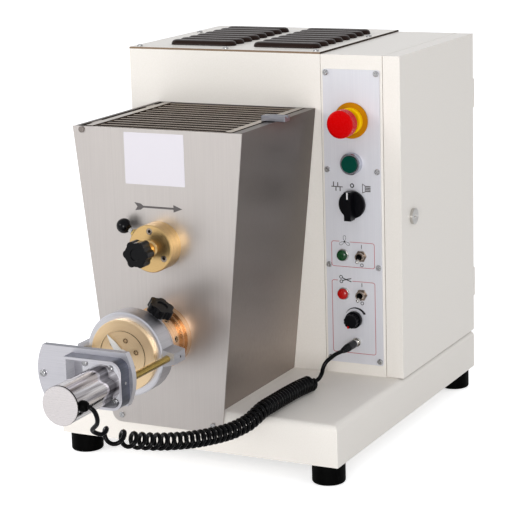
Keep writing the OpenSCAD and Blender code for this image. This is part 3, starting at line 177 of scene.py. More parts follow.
def brushed(name, light, dark, along, roughness, coarse, metallic=1.0):
    """Ground or drawn metal: fine parallel scratches that stretch highlights across the grain. The real grit is near
    0.1 mm, drawn coarse mm wide so that it shows."""
    made, tree, shader = plain(name, light, roughness[0], metallic)
    size = [coarse] * 3
    size["xyz".index(along)] = 90.0
    uneven(tree, shader, space(tree, size), 4, rough=roughness, tone=(dark, light), height=0.012, bump_scale=0.5)
    return made


def side_sheet():
    """Ground stainless of the hopper's sides. Its tone falls off towards the rim and is lighter low down: a painted
    reflection of the darker surroundings that the upper side faces, so that the wide side doesn't read as one flat
    grey."""
    made, tree, shader = plain("ground_stainless_side_with_painted_reflection", "#8E8681", 0.4, 1.0)
    uneven(tree, shader, space(tree, (0.7, 0.7, 90)), 4, rough=(0.36, 0.46), tone=("#DCD8D6", "#F4F2F0"),
           height=0.012, bump_scale=0.5)
    grain = shader.inputs["Base Color"].links[0].from_socket
    height = add(tree, "SeparateXYZ", links={"Vector": space(tree, (1000, 1000, 1000))}).outputs[2]
    # painted reflection: lighter low on the side, darker towards its rim
    painted_falloff = ramp(tree, height, [(0.12, linear("#B8AFA9")), (0.24, linear("#86807B")), (0.4, linear("#77716D"))])
    both = add(tree, "VectorMath", {"operation": "MULTIPLY"}, {0: grain, 1: painted_falloff})
    tree.links.new(both.outputs[0], shader.inputs["Base Color"])
    return made


def turned(name, light, dark, axis_point, pitch=0.8, roughness=(0.18, 0.34)):
    """Metal turned on a lathe: fine rings round its axis, drawn a little coarser than the tool's feed."""
    made, tree, shader = plain(name, light, roughness[0], 1.0)
    uneven(tree, shader, rings(tree, axis_point, pitch), 3, rough=roughness, tone=(dark, light), height=0.02,
           bump_scale=0.45)
    return made


def moulded(name, code, roughness, grain_mm, height, specular=0.5):
    """Moulded plastic, rubber or ink with the fine skin of its tool, which breaks up its reflections."""
    made, tree, shader = plain(name, code, roughness, specular=specular)
    uneven(tree, shader, space(tree, (grain_mm,) * 3), 2, rough=(roughness * 0.85, min(1, roughness * 1.2)),
           height=height, bump_scale=0.4)
    return made


EXT_AXIS = at(HOP_X, 0, EXT_Z)
MIX_AXIS = at(HOP_X, 0, MIX_Z)
BRUSHED = dict(  # name, light, dark, grain's axis, roughness, grain's width mm, metallic
    plate_steel=("ground_stainless_upright_grain", "#C9C3BF", "#C2BCB8", "z", (0.36, 0.42), 0.6),
    side_steel=("ground_stainless_bar", "#8E8681", "#827A75", "z", (0.36, 0.46), 0.7),
    bar_steel=("polished_stainless_rod", "#968A7E", "#85796D", "x", (0.14, 0.24), 6.0),
    # a dark copy of the rod's steel: painted shade on the bars' undersides
    bar_shadow=("tarnished_rod_underside", "#1E1712", "#130D09", "x", (0.24, 0.32), 6.0),
    zinc=("zinc_plated_steel", "#C4C4C4", "#A6A6A8", "y", (0.22, 0.34), 1.5),
    chrome=("bright_nickel_plate", "#D8D6D2", "#B8B5B0", "y", (0.1, 0.18), 2.0),
    bezel=("satin_chromed_bezel", "#B4B6C0", "#A6A8B2", "y", (0.16, 0.22), 6.0),
    toggle=("nickel_plated_brass_bush", "#A89C90", "#8A7C70", "y", (0.16, 0.26), 1.5),
    # its dark lengthwise streaks are painted reflections of dark surroundings
    can=("drawn_steel_motor_can", "#F0EDEE", "#6E676A", "y", (0.08, 0.14), 4.2),
    can_cap=("turned_motor_cap", "#E4DEDD", "#DDD7D6", "x", (0.24, 0.3), 1.0),
    # a darker copy of the bracket's aluminium: painted shade on the frame's outer walls
    painted_shade_frame_alu=("anodised_aluminium_frame", "#60636E", "#4E515C", "y", (0.3, 0.4), 2.0),
    # a duller grey: the latch's own colour, and painted shade on the bracket's upward faces
    edge_alu=("sawn_aluminium_edge", "#8E8F96", "#7E7F86", "x", (0.36, 0.46), 1.2),
    # a lighter, barely metallic copy of the aluminium: painted light on the frame's inner walls and the motor's flange,
    # against the shade in that recess
    painted_light_alu=("bead_blasted_aluminium", "#E2E2E6", "#D6D6DB", "y", (0.5, 0.6), 1.0, 0.15),
    rod_brass=("drawn_brass_rod", "#B59B55", "#8A7233", "y", (0.16, 0.26), 0.8),
    ring_alu=("cast_aluminium_ring", "#BDBCC0", "#A9A8AD", "y", (0.42, 0.54), 1.1),
    plate_alu=("milled_aluminium_plate", "#D2D0D5", "#C4C3C8", "x", (0.36, 0.46), 0.8),
    foil=("satin_grey_panel_foil", "#E0E0E5", "#DADAE0", "z", (0.34, 0.42), 0.6, 0.25),
    gear_steel=("hobbed_gear_steel", "#8C8C8E", "#6C6C6E", "y", (0.3, 0.45), 1.0),
)
TURNED = dict(  # name, light, dark, axis, pitch mm, roughness
    boss_bronze=("turned_bronze_boss", "#DFBE88", "#CDA86C", MIX_AXIS, 0.5, (0.24, 0.34)),
    hub_brass=("turned_brass_sleeve", "#E2C886", "#C6A35C", MIX_AXIS),
    barrel_bronze=("turned_bronze_barrel", "#DDBB98", "#C0946A", EXT_AXIS, 0.8, (0.16, 0.28)),
    die_bronze=("turned_bronze_die", "#F8DEB6", "#EFD0A4", EXT_AXIS, 0.45, (0.3, 0.4)),
    insert_brass=("turned_brass_insert", "#EBCFA6", "#D6B080", EXT_AXIS, 0.5),
    rim_alu=("turned_aluminium_rim", "#DEDDE1", "#CFCED3", EXT_AXIS, 0.6, (0.3, 0.38)),
)
MOULDED = dict(  # name, colour, roughness, grain mm, its height mm, specular level
    slot=("shaded_turned_slot", "#4A2E12", 0.6, 0.8, 0.01, 0.1),
    seam=("shaded_sheet_seam", "#8A745E", 0.6, 0.8, 0.01, 0.1),
    deep_seam=("shaded_cover_seam", "#3C2E25", 0.6, 0.8, 0.01, 0.1),
    groove=("shaded_cap_groove", "#15110F", 0.6, 0.8, 0.01, 0.1),
    black_knob=("black_phenolic_moulding", "#030305", 0.2, 1.5, 0.01, 0.16),
    black_satin=("black_abs_fine_texture", "#040408", 0.32, 0.6, 0.02, 0.12),
    rubber=("black_moulded_rubber", "#020202", 0.5, 0.9, 0.04, 0.04),
    cord=("black_pvc_cord_sheath", "#020203", 0.16, 1.2, 0.01, 0.11),
    louver=("dark_brown_enamelled_pressing", "#24150F", 0.34, 1.4, 0.02, 0.12),
    yellow=("yellow_abs_gloss", "#FFD200", 0.3, 1.6, 0.012, 0.12),
    # the collar's disc under the stop button's head: orange-yellow, darkened further by painted shade from the head
    amber=("amber_yellow_abs_ring", "#BC7C02", 0.36, 1.6, 0.012, 0.08),
    red=("red_abs_gloss", "#CC0002", 0.26, 1.6, 0.01, 0.08),
    green_lens=("green_lens_moulding", "#004236", 0.16, 2.5, 0.01, 0.14),
    green_lamp=("green_lamp_lens", "#083F1C", 0.14, 1.5, 0.01, 0.4),
    red_lamp=("red_lamp_lens", "#B00A06", 0.14, 1.5, 0.01, 0.4),
    white_plastic=("white_acetal_moulding", "#E9E8E4", 0.4, 0.9, 0.02),
    nylon=("natural_nylon_gear", "#DDD8C9", 0.45, 0.9, 0.02),
    grey_plastic=("grey_polyamide_case", "#5B5D60", 0.5, 0.8, 0.03),
    enamel=("grey_machine_enamel", "#4C5155", 0.4, 1.8, 0.04),
    ink_black=("black_screen_ink", "#1C1C20", 0.5, 0.6, 0.01, 0.2),
    ink_grey=("grey_screen_ink", "#5E5A5A", 0.5, 0.6, 0.01, 0.2),
    ink_red=("red_screen_ink", "#B5424C", 0.5, 0.6, 0.01, 0.2),
    ink_white=("white_screen_ink", "#EEEEEE", 0.5, 0.6, 0.01),
    paper=("white_vinyl_label", "#D6D2D8", 0.34, 1.8, 0.01),
)
FINISHES = {"paint": (powder_coat,), "side_sheet": (side_sheet,)}
for kind, table in ((brushed, BRUSHED), (turned, TURNED), (moulded, MOULDED)):
    FINISHES.update({key: (kind, *row) for key, row in table.items()})
MATERIALS = {}


def material(name):
    """Each finish is made once, when a piece first asks for it."""
    if name not in MATERIALS:
        kind, *row = FINISHES[name]
        MATERIALS[name] = kind(*row)
    return MATERIALS[name]


# ---------------------------------------------------------------- mesh tools
SHARP = math.radians(50)


def shade(mesh):
    """Smooth faces with sharp edges where the surface turns more than SHARP. Wide faces lead the normals, so that a
    flat sheet stays flat beside its rounded edge."""
    work = bmesh.new()
    work.from_mesh(mesh)
    for face in work.faces:
        face.smooth = True
    for edge in work.edges:
        if len(edge.link_faces) == 2:
            edge.smooth = edge.calc_face_angle(0) < SHARP
    work.to_mesh(mesh)
    work.free()
    limit = math.cos(SHARP)
    sides = [(p.normal.copy(), p.area) for p in mesh.polygons]
    around = [[] for _ in mesh.vertices]
    for polygon in mesh.polygons:
        for corner in polygon.vertices:
            around[corner].append(sides[polygon.index])
    normals = []
    for polygon in mesh.polygons:
        own = sides[polygon.index][0]
        for corner in polygon.vertices:
            total = sum((n * area for n, area in around[corner] if n.dot(own) > limit), own * 1e-9)
            normals.append(total.normalized())
    mesh.normals_split_custom_set(normals)


def link(name, data):
    """Adds an object to the scene."""
    made = bpy.data.objects.new(name, data)
    bpy.context.scene.collection.objects.link(made)
    return made


def place(name, work, finish_name, body):
    """Turns mesh work into a piece that rides on a body."""
    mesh = bpy.data.meshes.new(name)
    work.to_mesh(mesh)
    work.free()
    piece = link(name, mesh)
    shade(mesh)
    mesh.materials.clear()
    mesh.materials.append(material(finish_name))
    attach(piece, body)
    return piece


def body_of(node):
    return NODES[node]["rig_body"]


def finish(node, name):
    """Gives a CAD node its material and smooth shading, with the mesh as it is."""
    mesh = NODES[node].data
    mesh.materials.clear()
    mesh.materials.append(material(name))
    for polygon in mesh.polygons:
        polygon.material_index = 0
        polygon.use_smooth = True
    mesh.set_sharp_from_angle(angle=math.radians(32))


def bevel(work, width, segments, corner):
    """Rounds the edges that turn more than corner degrees by width mm."""
    edges = [e for e in work.edges if len(e.link_faces) == 2 and e.calc_face_angle(0) > math.radians(corner)]
    bmesh.ops.bevel(work, geom=edges, offset=mm(width), segments=segments, profile=0.5, affect="EDGES",
                    clamp_overlap=True)


def extrude(work, shift):
    """Gives flat work its thickness."""
    made = bmesh.ops.extrude_face_region(work, geom=list(work.faces))
    bmesh.ops.translate(work, verts=[g for g in made["geom"] if isinstance(g, bmesh.types.BMVert)], vec=shift)
    bmesh.ops.recalc_face_normals(work, faces=work.faces)


def eased(node, name, width, finish_name, segments=2, corner=28, split=False):
    """Stands in for a CAD node with a copy whose edges are rounded by width mm, as folded, turned or moulded edges
    are. corner is the least angle of an edge that is rounded. split keeps faces with holes in them from folding."""
    work = bmesh.new()
    work.from_mesh(NODES[node].data)
    bmesh.ops.remove_doubles(work, verts=work.verts, dist=1e-6)
    bmesh.ops.dissolve_limit(work, angle_limit=math.radians(0.6), verts=work.verts, edges=work.edges)
    if split:
        bmesh.ops.triangulate(work, faces=[f for f in work.faces if len(f.verts) > 4])
    bevel(work, width, segments, corner)
    piece = place(name, work, finish_name, body_of(node))
    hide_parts(node)
    return piece


def off_axis(p, x, z):
    """How far a point is from an axis along Y."""
    return math.hypot(p.x - x, p.z - z)


def repaint(piece, finish_name, test):
    """Gives a second finish to the faces that pass the test, which gets their middle p (machine mm) and normal n."""
    mesh = piece.data
    mesh.materials.append(material(finish_name))
    for polygon in mesh.polygons:
        if test(polygon.center * 1000 + ORIGIN, polygon.normal):
            polygon.material_index = len(mesh.materials) - 1
    return piece


def ring(work, radius, height, count=36, start=0.0):
    """A loop of points round +Z, or one point where the radius is nothing (mm)."""
    if radius < 1e-6:
        return [work.verts.new((0, 0, mm(height)))]
    angles = [start + 2 * math.pi * k / count for k in range(count)]
    return [work.verts.new((mm(radius) * math.cos(a), mm(radius) * math.sin(a), mm(height))) for a in angles]


def skin(work, low, high):
    """Faces between two loops."""
    count = max(len(low), len(high))
    for k in range(count):
        n = (k + 1) % count
        corners = [low[k % len(low)], low[n % len(low)], high[n % len(high)], high[k % len(high)]]
        unique = list(dict.fromkeys(corners))
        if len(unique) > 2:
            work.faces.new(unique)


def stand(work, name, origin, axis, finish_name, body):
    """Sets work made round +Z on an axis through origin (machine mm) and places it."""
    work.transform(Matrix.Translation(at(*origin)) @ Vector(axis).to_track_quat("Z", "Y").to_matrix().to_4x4())
    bmesh.ops.recalc_face_normals(work, faces=work.faces)
    return place(name, work, finish_name, body)


def lathe(name, profile, origin, axis, finish_name, body, steps):
    """Turns a profile [(radius, height)] in mm about an axis through origin (machine mm)."""
    work = bmesh.new()
    loops = [ring(work, radius, height, steps) for radius, height in profile]
    for low, high in zip(loops, loops[1:]):
        skin(work, low, high)
    return stand(work, name, origin, axis, finish_name, body)


def bevelled(points, width, steps):
    """Rounds the corners of a lathe profile by up to width mm."""
    out = [points[0]]
    for before, here, after in zip(points, points[1:], points[2:]):
        a, b, c = Vector(before), Vector(here), Vector(after)
        cut = min(width, (a - b).length / 2.01, (c - b).length / 2.01)
        if cut < 0.02:
            out.append(here)
            continue
        start, end = b + (a - b).normalized() * cut, b + (c - b).normalized() * cut
        for i in range(steps + 1):
            t = i / steps
            out.append(tuple((1 - t) ** 2 * start + 2 * t * (1 - t) * b + t * t * end))
    out.append(points[-1])
    return out


def loop_edges(work, loop):
    pairs = zip(loop, loop[1:] + loop[:1])
    return [work.edges.get(pair) or work.edges.new(pair) for pair in pairs]


def prism(name, outline, low, high, finish_name, body, edge=0.0):
    """Extrudes an outline (x, z in machine mm) from y = low to y = high, with eased edges."""
    work = bmesh.new()
    loop = [work.verts.new(at(x, low, z)) for x, z in outline]
    bmesh.ops.triangle_fill(work, edges=loop_edges(work, loop), use_beauty=True, use_dissolve=True)
    extrude(work, (0, mm(high - low), 0))
    if edge:
        bevel(work, edge, 2, 30)
    return place(name, work, finish_name, body)


def polar(degrees):
    """Cosine and sine."""
    angle = math.radians(degrees)
    return math.cos(angle), math.sin(angle)


def rounded_box(x0, z0, x1, z1, radius, steps):
    """Outline of a rectangle with rounded corners."""
    out = []
    for cx, cz, start in ((x1 - radius, z1 - radius, 0), (x0 + radius, z1 - radius, 90),
                          (x0 + radius, z0 + radius, 180), (x1 - radius, z0 + radius, 270)):
        for i in range(steps + 1):
            x, z = polar(start + 90 * i / steps)
            out.append((cx + radius * x, cz + radius * z))
    return out


def circle(x, z, radius, steps):
    angles = [2 * math.pi * k / steps for k in range(steps)]
    return [(x + radius * math.cos(a), z + radius * math.sin(a)) for a in angles]


def band(points, width, closed):
    """Left and right edges of a line of that width along points, with mitred corners."""
    sides = []
    n = len(points)
    for i, here in enumerate(points):
        before = points[i - 1] if closed or i else None
        after = points[(i + 1) % n] if closed or i < n - 1 else None
        a = (Vector(here) - Vector(before)).normalized() if before else None
        b = (Vector(after) - Vector(here)).normalized() if after else None
        a, b = a or b, b or a
        side = Vector((-(a + b).y, (a + b).x)).normalized()
        reach = width / 2 / max(0.4, side.dot(Vector((-a.y, a.x))))
        sides.append((Vector(here) + side * reach, Vector(here) - side * reach))
    return sides


def printed(name, strokes, fills, finish_name, lift, face):
    """Ink of lift mm on the flat face at y = face: strokes [(points, width, closed)] and filled outlines in x, z."""
    work = bmesh.new()

    def point(p):
        return work.verts.new(at(p[0], face - lift, p[1]))

    for points, width, closed in strokes:
        pairs = [(point(a), point(b)) for a, b in band(points, width, closed)]
        for (a, b), (c, d) in zip(pairs, pairs[1:] + (pairs[:1] if closed else [])):
            work.faces.new((a, b, d, c))
    for outline in fills:
        work.faces.new([point(p) for p in outline])
    bmesh.ops.recalc_face_normals(work, faces=work.faces)
    extrude(work, (0, mm(lift), 0))
    return place(name, work, finish_name, "machine")


def socket_screw(name, head, axis, radius, finish_name="chrome"):
    """Countersunk screw with a hexagon socket; the socket and the sides below the face get painted shade for the dark
    gap round it. head is the middle of its flat face.
    """
    socket = radius * 0.48
    work = bmesh.new()
    loops = [ring(work, *row) for row in ((socket, -1.6, 6), (socket, 0, 6), (radius * 0.82, 0), (radius, -0.12),
                                          (radius * 0.6, -radius * 0.5))]
    work.faces.new(loops[0])
    skin(work, loops[0], loops[1])
    for k in range(6):
        n = (k + 1) % 6
        for i in range(6):
            a, b = loops[2][k * 6 + i], loops[2][(k * 6 + i + 1) % 36]
            work.faces.new((loops[1][k] if i < 3 else loops[1][n], a, b))
        work.faces.new((loops[1][k], loops[2][k * 6 + 3], loops[1][n]))
    for low, high in zip(loops[2:], loops[3:]):
        skin(work, low, high)
    work.faces.new(loops[-1])
    screw = stand(work, name, head, axis, finish_name, "machine")
    top, out = Vector(head), Vector(axis).normalized()
    return repaint(screw, "groove", lambda p, n: (p - top).dot(out) < -0.03)


def cross_screw(name, head, axis, radius):
    """Pan head screw with a cross recess. head is the middle of the head's underside."""
    tall, arm, wide, deep = radius * 0.62, radius * 0.55, radius * 0.16, radius * 0.3
    cross = [(wide, arm), (-wide, arm), (-wide, wide), (-arm, wide), (-arm, -wide), (-wide, -wide), (-wide, -arm),
             (wide, -arm), (wide, -wide), (arm, -wide), (arm, wide), (wide, wide)]
    work = bmesh.new()
    recess = [[work.verts.new((mm(x), mm(y), mm(height))) for x, y in cross] for height in (tall - deep, tall)]
    outer = [ring(work, radius * reach, tall * height, start=math.pi / 4)
             for reach, height in ((0.72, 1.0), (0.88, 0.86), (1.0, 0.5), (1.0, 0.0))]
    work.faces.new(recess[0])
    skin(work, *recess)
    edges = loop_edges(work, recess[1]) + loop_edges(work, outer[0])
    bmesh.ops.triangle_fill(work, edges=edges, use_beauty=True)
    for low, high in zip(outer, outer[1:]):
        skin(work, low, high)
    work.faces.new(outer[-1])
    return stand(work, name, head, axis, "zinc", "machine")


# ---------------------------------------------------------------- routes
LEAD_POINTS = [(215, -492, 167), (220, -492, 166), (224, -490, 161), (225, -487, 153), (222, -483, 145),
               (215, -479, 138), (208, -475, 133)]
COIL_POINTS = [(208, -475, 133), (212, -466, 128), (219, -446, 118), (231, -412, 104), (246, -371, 92),
               (262, -325, 83), (278, -279, 79), (288, -250, 81.5), (292, -235, 85.5), (294.5, -221, 90),
               (295.5, -208, 91.5), (296, -190, 91.4), (296.5, -150, 91), (299, -115, 91), (305, -84, 91)]
PLUG_POINTS = [(305, -84, 91), (308, -78, 92), (311, -76, 98), (313, -76, 106), (316, -74, 114), (321, -69, 120),
               (326, -60, 124), (329.3, -52, 125), (329.3, -48, 125)]


def smooth_route(points, step):
    """Evenly spaced points, step mm apart, on a smooth curve through the given ones."""
    points = [Vector(p) for p in points]
    padded = [2 * points[0] - points[1]] + points + [2 * points[-1] - points[-2]]
    fine = []
    for a, b, c, d in zip(padded, padded[1:], padded[2:], padded[3:]):
        for i in range(24):
            t = i / 24
            fine.append(0.5 * ((2 * b) + (c - a) * t + (2 * a - 5 * b + 4 * c - d) * t ** 2
                               + (3 * b - a - 3 * c + d) * t ** 3))
    fine.append(points[-1])
    total = sum((q - p).length for p, q in zip(fine, fine[1:]))
    count = max(2, round(total / step))
    out, walked, index = [fine[0]], 0.0, 0
    for k in range(1, count):
        target = total * k / count
        while walked + (fine[index + 1] - fine[index]).length < target:
            walked += (fine[index + 1] - fine[index]).length
            index += 1
        leg = fine[index + 1] - fine[index]
        out.append(fine[index] + leg * ((target - walked) / max(leg.length, 1e-9)))
    out.append(fine[-1])
    return out


def curl(points, turns, reach, slack, per_turn=16):
    """A helix of that many turns round a route. Its pitch falls off from the first turn, and slack is how many
    millimetres wider apart the pulled turns at its ends are."""
    route = smooth_route(points, 1.0)
    total = len(route) - 1
    tight, wider, fade = 6.6, 13.5, 115  # pitch of the last turns, what the first has more, and how far that lasts
    share = [1.0 / (tight + wider * math.exp(-i / fade) + slack / (1 + math.exp((i - 54) / 4))
                    + 0.7 * slack / (1 + math.exp((total - i - 10) / 2.5))) for i in range(total)]
    scale = turns / sum(share)
    turned_by = [0.0]
    for s in share:
        turned_by.append(turned_by[-1] + s * scale)
    side = Vector((1, 0, 0))
    sides = []
    for i in range(total + 1):
        along = (route[min(i + 1, total)] - route[max(i - 1, 0)]).normalized()
        side = (side - along * side.dot(along)).normalized()
        sides.append((side.copy(), along.cross(side)))
    out = []
    index = 0
    for k in range(int(turns * per_turn) + 1):
        turn = k / per_turn
        while index < total - 1 and turned_by[index + 1] < turn:
            index += 1
        t = (turn - turned_by[index]) / max(turned_by[index + 1] - turned_by[index], 1e-9)
        t = min(max(t, 0.0), 1.0)
        middle = route[index].lerp(route[index + 1], t)
        ease = min(1.0, turn / 0.9, (turns - turn) / 0.7)
        radius = reach * (3 * ease ** 2 - 2 * ease ** 3)
        a, b = sides[index]
        angle = math.pi - 2 * math.pi * turn
        out.append(middle + radius * (math.cos(angle) * a + math.sin(angle) * b))
    return out


def relax(route, middle, reach=6, passes=8):
    """Takes the kink out of a route where two stretches meet."""
    for _ in range(passes):
        for i in range(middle - reach, middle + reach + 1):
            route[i] = 0.5 * route[i] + 0.25 * (route[i - 1] + route[i + 1])


# ---------------------------------------------------------------- settings
class PastaMakerSettings(bpy.types.PropertyGroup):
    """Sizes and colours that change from one build to the next."""
    cord_diameter: FloatProperty(name="Cord diameter", description="Diameter of the cutter's cord", default=0.0054,
                                 min=0.003, max=0.008, unit="LENGTH")
    curl_diameter: FloatProperty(name="Curl diameter", description="Outer diameter of the curly stretch",
                                 default=0.022, min=0.015, max=0.03, unit="LENGTH")
    curl_turns: IntProperty(name="Curl turns", description="Turns in the curly stretch", default=45, min=20, max=60)
    sheet_edge: FloatProperty(name="Sheet edge", description="Outer radius of the cabinet's folded edges",
                              default=0.0016, min=0.0004, max=0.004, unit="LENGTH")
    floor_colour: FloatVectorProperty(name="Floor", description="Colour of the floor", subtype="COLOR", size=3,
                                      default=(0.9, 0.9, 0.9), min=0, max=1)
    key_power: FloatProperty(name="Key light", description="Power of the soft light at the front left", default=18.0,
                             min=0, unit="POWER")
    fill_power: FloatProperty(name="Fill light", description="Power of the soft light at the front right",
                              default=35.0, min=0, unit="POWER")


def settings():
    return bpy.context.scene.pasta_maker


class PieceOperator:
    bl_options = {"REGISTER"}


class OBJECT_OT_stage(PieceOperator, bpy.types.Operator):
    """Adds the camera, the pale floor and the soft lights"""
    bl_idname = "pasta_maker.stage"
    bl_label = "Camera, floor and lights"

    def execute(self, context):
        scene = context.scene
        scene.view_settings.view_transform = "Standard"
        turn, lift, roll = (math.radians(a) for a in (CAMERA_TURN, CAMERA_DOWN, CAMERA_ROLL))
        look = Vector((-math.sin(turn) * math.cos(lift), math.cos(turn) * math.cos(lift), -math.sin(lift)))
        right = Vector((math.cos(turn), math.sin(turn), 0))
        up = right.cross(look)
        side = math.cos(roll) * right + math.sin(roll) * up
        above = -math.sin(roll) * right + math.cos(roll) * up
        lens = bpy.data.cameras.new("front_right_camera")
        lens.sensor_width = 36
        lens.lens = CAMERA_LENS
        lens.clip_end = 50
        camera = link("front_right_camera", lens)
        place_of = at(*CAMERA_AT)
        camera.matrix_world = Matrix(((side.x, above.x, -look.x, place_of.x), (side.y, above.y, -look.y, place_of.y),
                                      (side.z, above.z, -look.z, place_of.z), (0, 0, 0, 1)))
        scene.camera = camera
        self.world(scene)
        self.floor()
        for name, power, size, spot, target in (
                ("key", settings().key_power, 0.8, (-1.7, -2.3, 1.3), (0, -0.1, 0.25)),
                ("fill", settings().fill_power, 1.0, (1.0, -3.1, 0.5), (0.1, -0.1, 0.15))):
            lamp = bpy.data.lights.new(name, "AREA")
            lamp.energy = power
            lamp.size = size
            lamp_object = link(name, lamp)
            lamp_object.location = spot
            aim = Vector(target) - Vector(spot)
            lamp_object.rotation_euler = aim.to_track_quat("-Z", "Y").to_euler()
        return {"FINISHED"}

    def world(self, scene):
        """White where the camera sees it, and a plain studio of pale walls and a darker side for the rest."""
        world = bpy.data.worlds.new("studio")
        scene.world = world
        world.use_nodes = True
        tree = world.node_tree
        tree.nodes.clear()
        ray = add(tree, "LightPath")
        coords = add(tree, "TexCoord")
        turned_to = add(tree, "VectorMath", {"operation": "DOT_PRODUCT", 1: (-0.5, 0.45, -0.2)},
                        {0: coords.outputs["Generated"]})
        lifted = add(tree, "Math", {"operation": "ADD", 1: 0.5}, {0: turned_to.outputs["Value"]})
        walls = ramp(tree, lifted, [(0.0, 0.7), (0.35, 0.72), (0.5, 0.76), (0.75, 0.9), (1.0, 1.0)])
        height = add(tree, "SeparateXYZ", links={"Vector": coords.outputs["Generated"]}).outputs[2]
        tint = ramp(tree, height, [(0.0, (1.0, 0.985, 0.965)), (0.5, (0.95, 0.965, 1.0))])
        shaded = add(tree, "VectorMath", {"operation": "MULTIPLY"}, {0: walls, 1: tint})
        room = add(tree, "Background", links={"Color": shaded})
        white = add(tree, "Background", {"Color": (1, 1, 1, 1)})
        mix = add(tree, "MixShader", links={0: ray.outputs["Is Camera Ray"], 1: room, 2: white})
        add(tree, "OutputWorld", links={"Surface": mix})

    def floor(self):
        mesh = bpy.data.meshes.new("floor")
        mesh.from_pydata([(-6, -6, 0), (6, -6, 0), (6, 6, 0), (-6, 6, 0)], [], [(0, 1, 2, 3)])
        floor = link("floor", mesh)
        made = bpy.data.materials.new("pale_matt_floor")
        made.use_nodes = True
        tree = made.node_tree
        tree.nodes.clear()
        ray = add(tree, "LightPath")
        seen = add(tree, "Math", {"operation": "MULTIPLY_ADD", 1: 0.1},
                   {0: ray.outputs["Is Glossy Ray"], 2: ray.outputs["Is Camera Ray"]})
        matt = add(tree, "BsdfDiffuse", {"Color": (*settings().floor_colour, 1)})
        glow = add(tree, "Emission", {"Color": (1, 1, 1, 1)},
                   {"Strength": add(tree, "Math", {"operation": "MULTIPLY", 1: 0.6}, {0: seen})})
        both = add(tree, "AddShader", links={0: matt, 1: glow})
        add(tree, "OutputMaterial", links={"Surface": both})
        mesh.materials.append(made)


class OBJECT_OT_cord(PieceOperator, bpy.types.Operator):
    """Adds the cutter's cord: its lead, its curly stretch and its end at the plug"""
    bl_idname = "pasta_maker.cord"
    bl_label = "Curly cord and plug"

    def execute(self, context):
        thick = settings().cord_diameter * 1000
        reach = settings().curl_diameter * 500 - thick / 2
        route = smooth_route(LEAD_POINTS, 2.2)[:-1]
        joins = [len(route)]
        route += curl(COIL_POINTS, settings().curl_turns, reach, slack=13)
        joins.append(len(route))
        route += smooth_route(PLUG_POINTS, 2.2)[1:]
        for join in joins:
            relax(route, join)
        route = [at(p.x, p.y, p.z + ORIGIN.z) for p in route]  # these heights are above the table
        data = bpy.data.curves.new("cutter_cord", "CURVE")
        data.dimensions = "3D"
        data.bevel_depth = settings().cord_diameter / 2
        data.bevel_resolution = 3
        data.use_fill_caps = True
        line = data.splines.new("POLY")
        line.points.add(len(route) - 1)
        for point, where in zip(line.points, route):
            point.co = (*where, 1)
        data.materials.append(material("cord"))
        cord = link("cutter_cord", data)
        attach(cord, "machine")
        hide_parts("motor_lead", "cord_coil", "plug_lead")
        plug = self.plug()
        return {"FINISHED"}

    def plug(self):
        """Ribbed moulded plug with a nickel nose."""
        ribs = [(0, -48.6), (2.9, -48.6)]
        for k in range(6):
            y = -47.8 + k * 2.4
            wide = 3.6 + 1.6 * k / 5
            ribs += [(wide, y), (wide, y + 1.3), (wide - 0.8, y + 1.5), (wide - 0.8, y + 2.2)]
        ribs += [(5.4, -33), (5.4, -13.6), (4.9, -12.2), (0, -12.2)]
        nose = [(0, -12.4), (4.3, -12.4), (4.3, -8), (3.6, -7.4), (3.6, -5.1), (0, -5.1)]
        jack = (JACK_X, 0, JACK_Z)
        plug = lathe("cord_plug_body", bevelled(ribs, 0.35, 2), jack, BACK, "black_satin", "machine", 48)
        lathe("cord_plug_nose", bevelled(nose, 0.3, 2), jack, BACK, "chrome", "machine", 48)
        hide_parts("cord_plug")
        return plug


class OBJECT_OT_casing(PieceOperator, bpy.types.Operator):
    """Adds the painted sheet-metal base, cabinet, cover, control column and side door"""
    bl_idname = "pasta_maker.casing"
    bl_label = "Painted casing"

    def execute(self, context):
        edge = settings().sheet_edge * 1000
        eased("base_tray", "base_tray_shell", 0.7, "paint", corner=40)
        cabinet = eased("main_housing", "cabinet_shell", edge, "paint", 3)
        repaint(cabinet, "seam", lambda p, n: p.x > 280 and n.x > 0.35 and p.y < 1.7)
        cover = eased("top_cover", "cabinet_cover", 0.5, "paint")
        repaint(cover, "seam", lambda p, n: n.y < -0.8 and p.y < 1)
        repaint(cover, "deep_seam", lambda p, n: n.x > 0.8 and p.x > 280)
        column = eased("electrical_box", "column_shell", 0.6, "paint")
        repaint(column, "seam", lambda p, n: abs(n.x) > 0.35 and p.y < 1)
        door = eased("side_door", "column_door", edge, "paint", 3)
        repaint(door, "seam", lambda p, n: n.x < -0.35 and p.y < 1.7 and p.x < 375)
        return {"FINISHED"}


class OBJECT_OT_louvers(PieceOperator, bpy.types.Operator):
    """Adds the dark louvers on the cover"""
    bl_idname = "pasta_maker.louvers"
    bl_label = "Louvers"

    def execute(self, context):
        eased("vent_louvers", "cover_louvers", 0.5, "louver", corner=50)
        return {"FINISHED"}


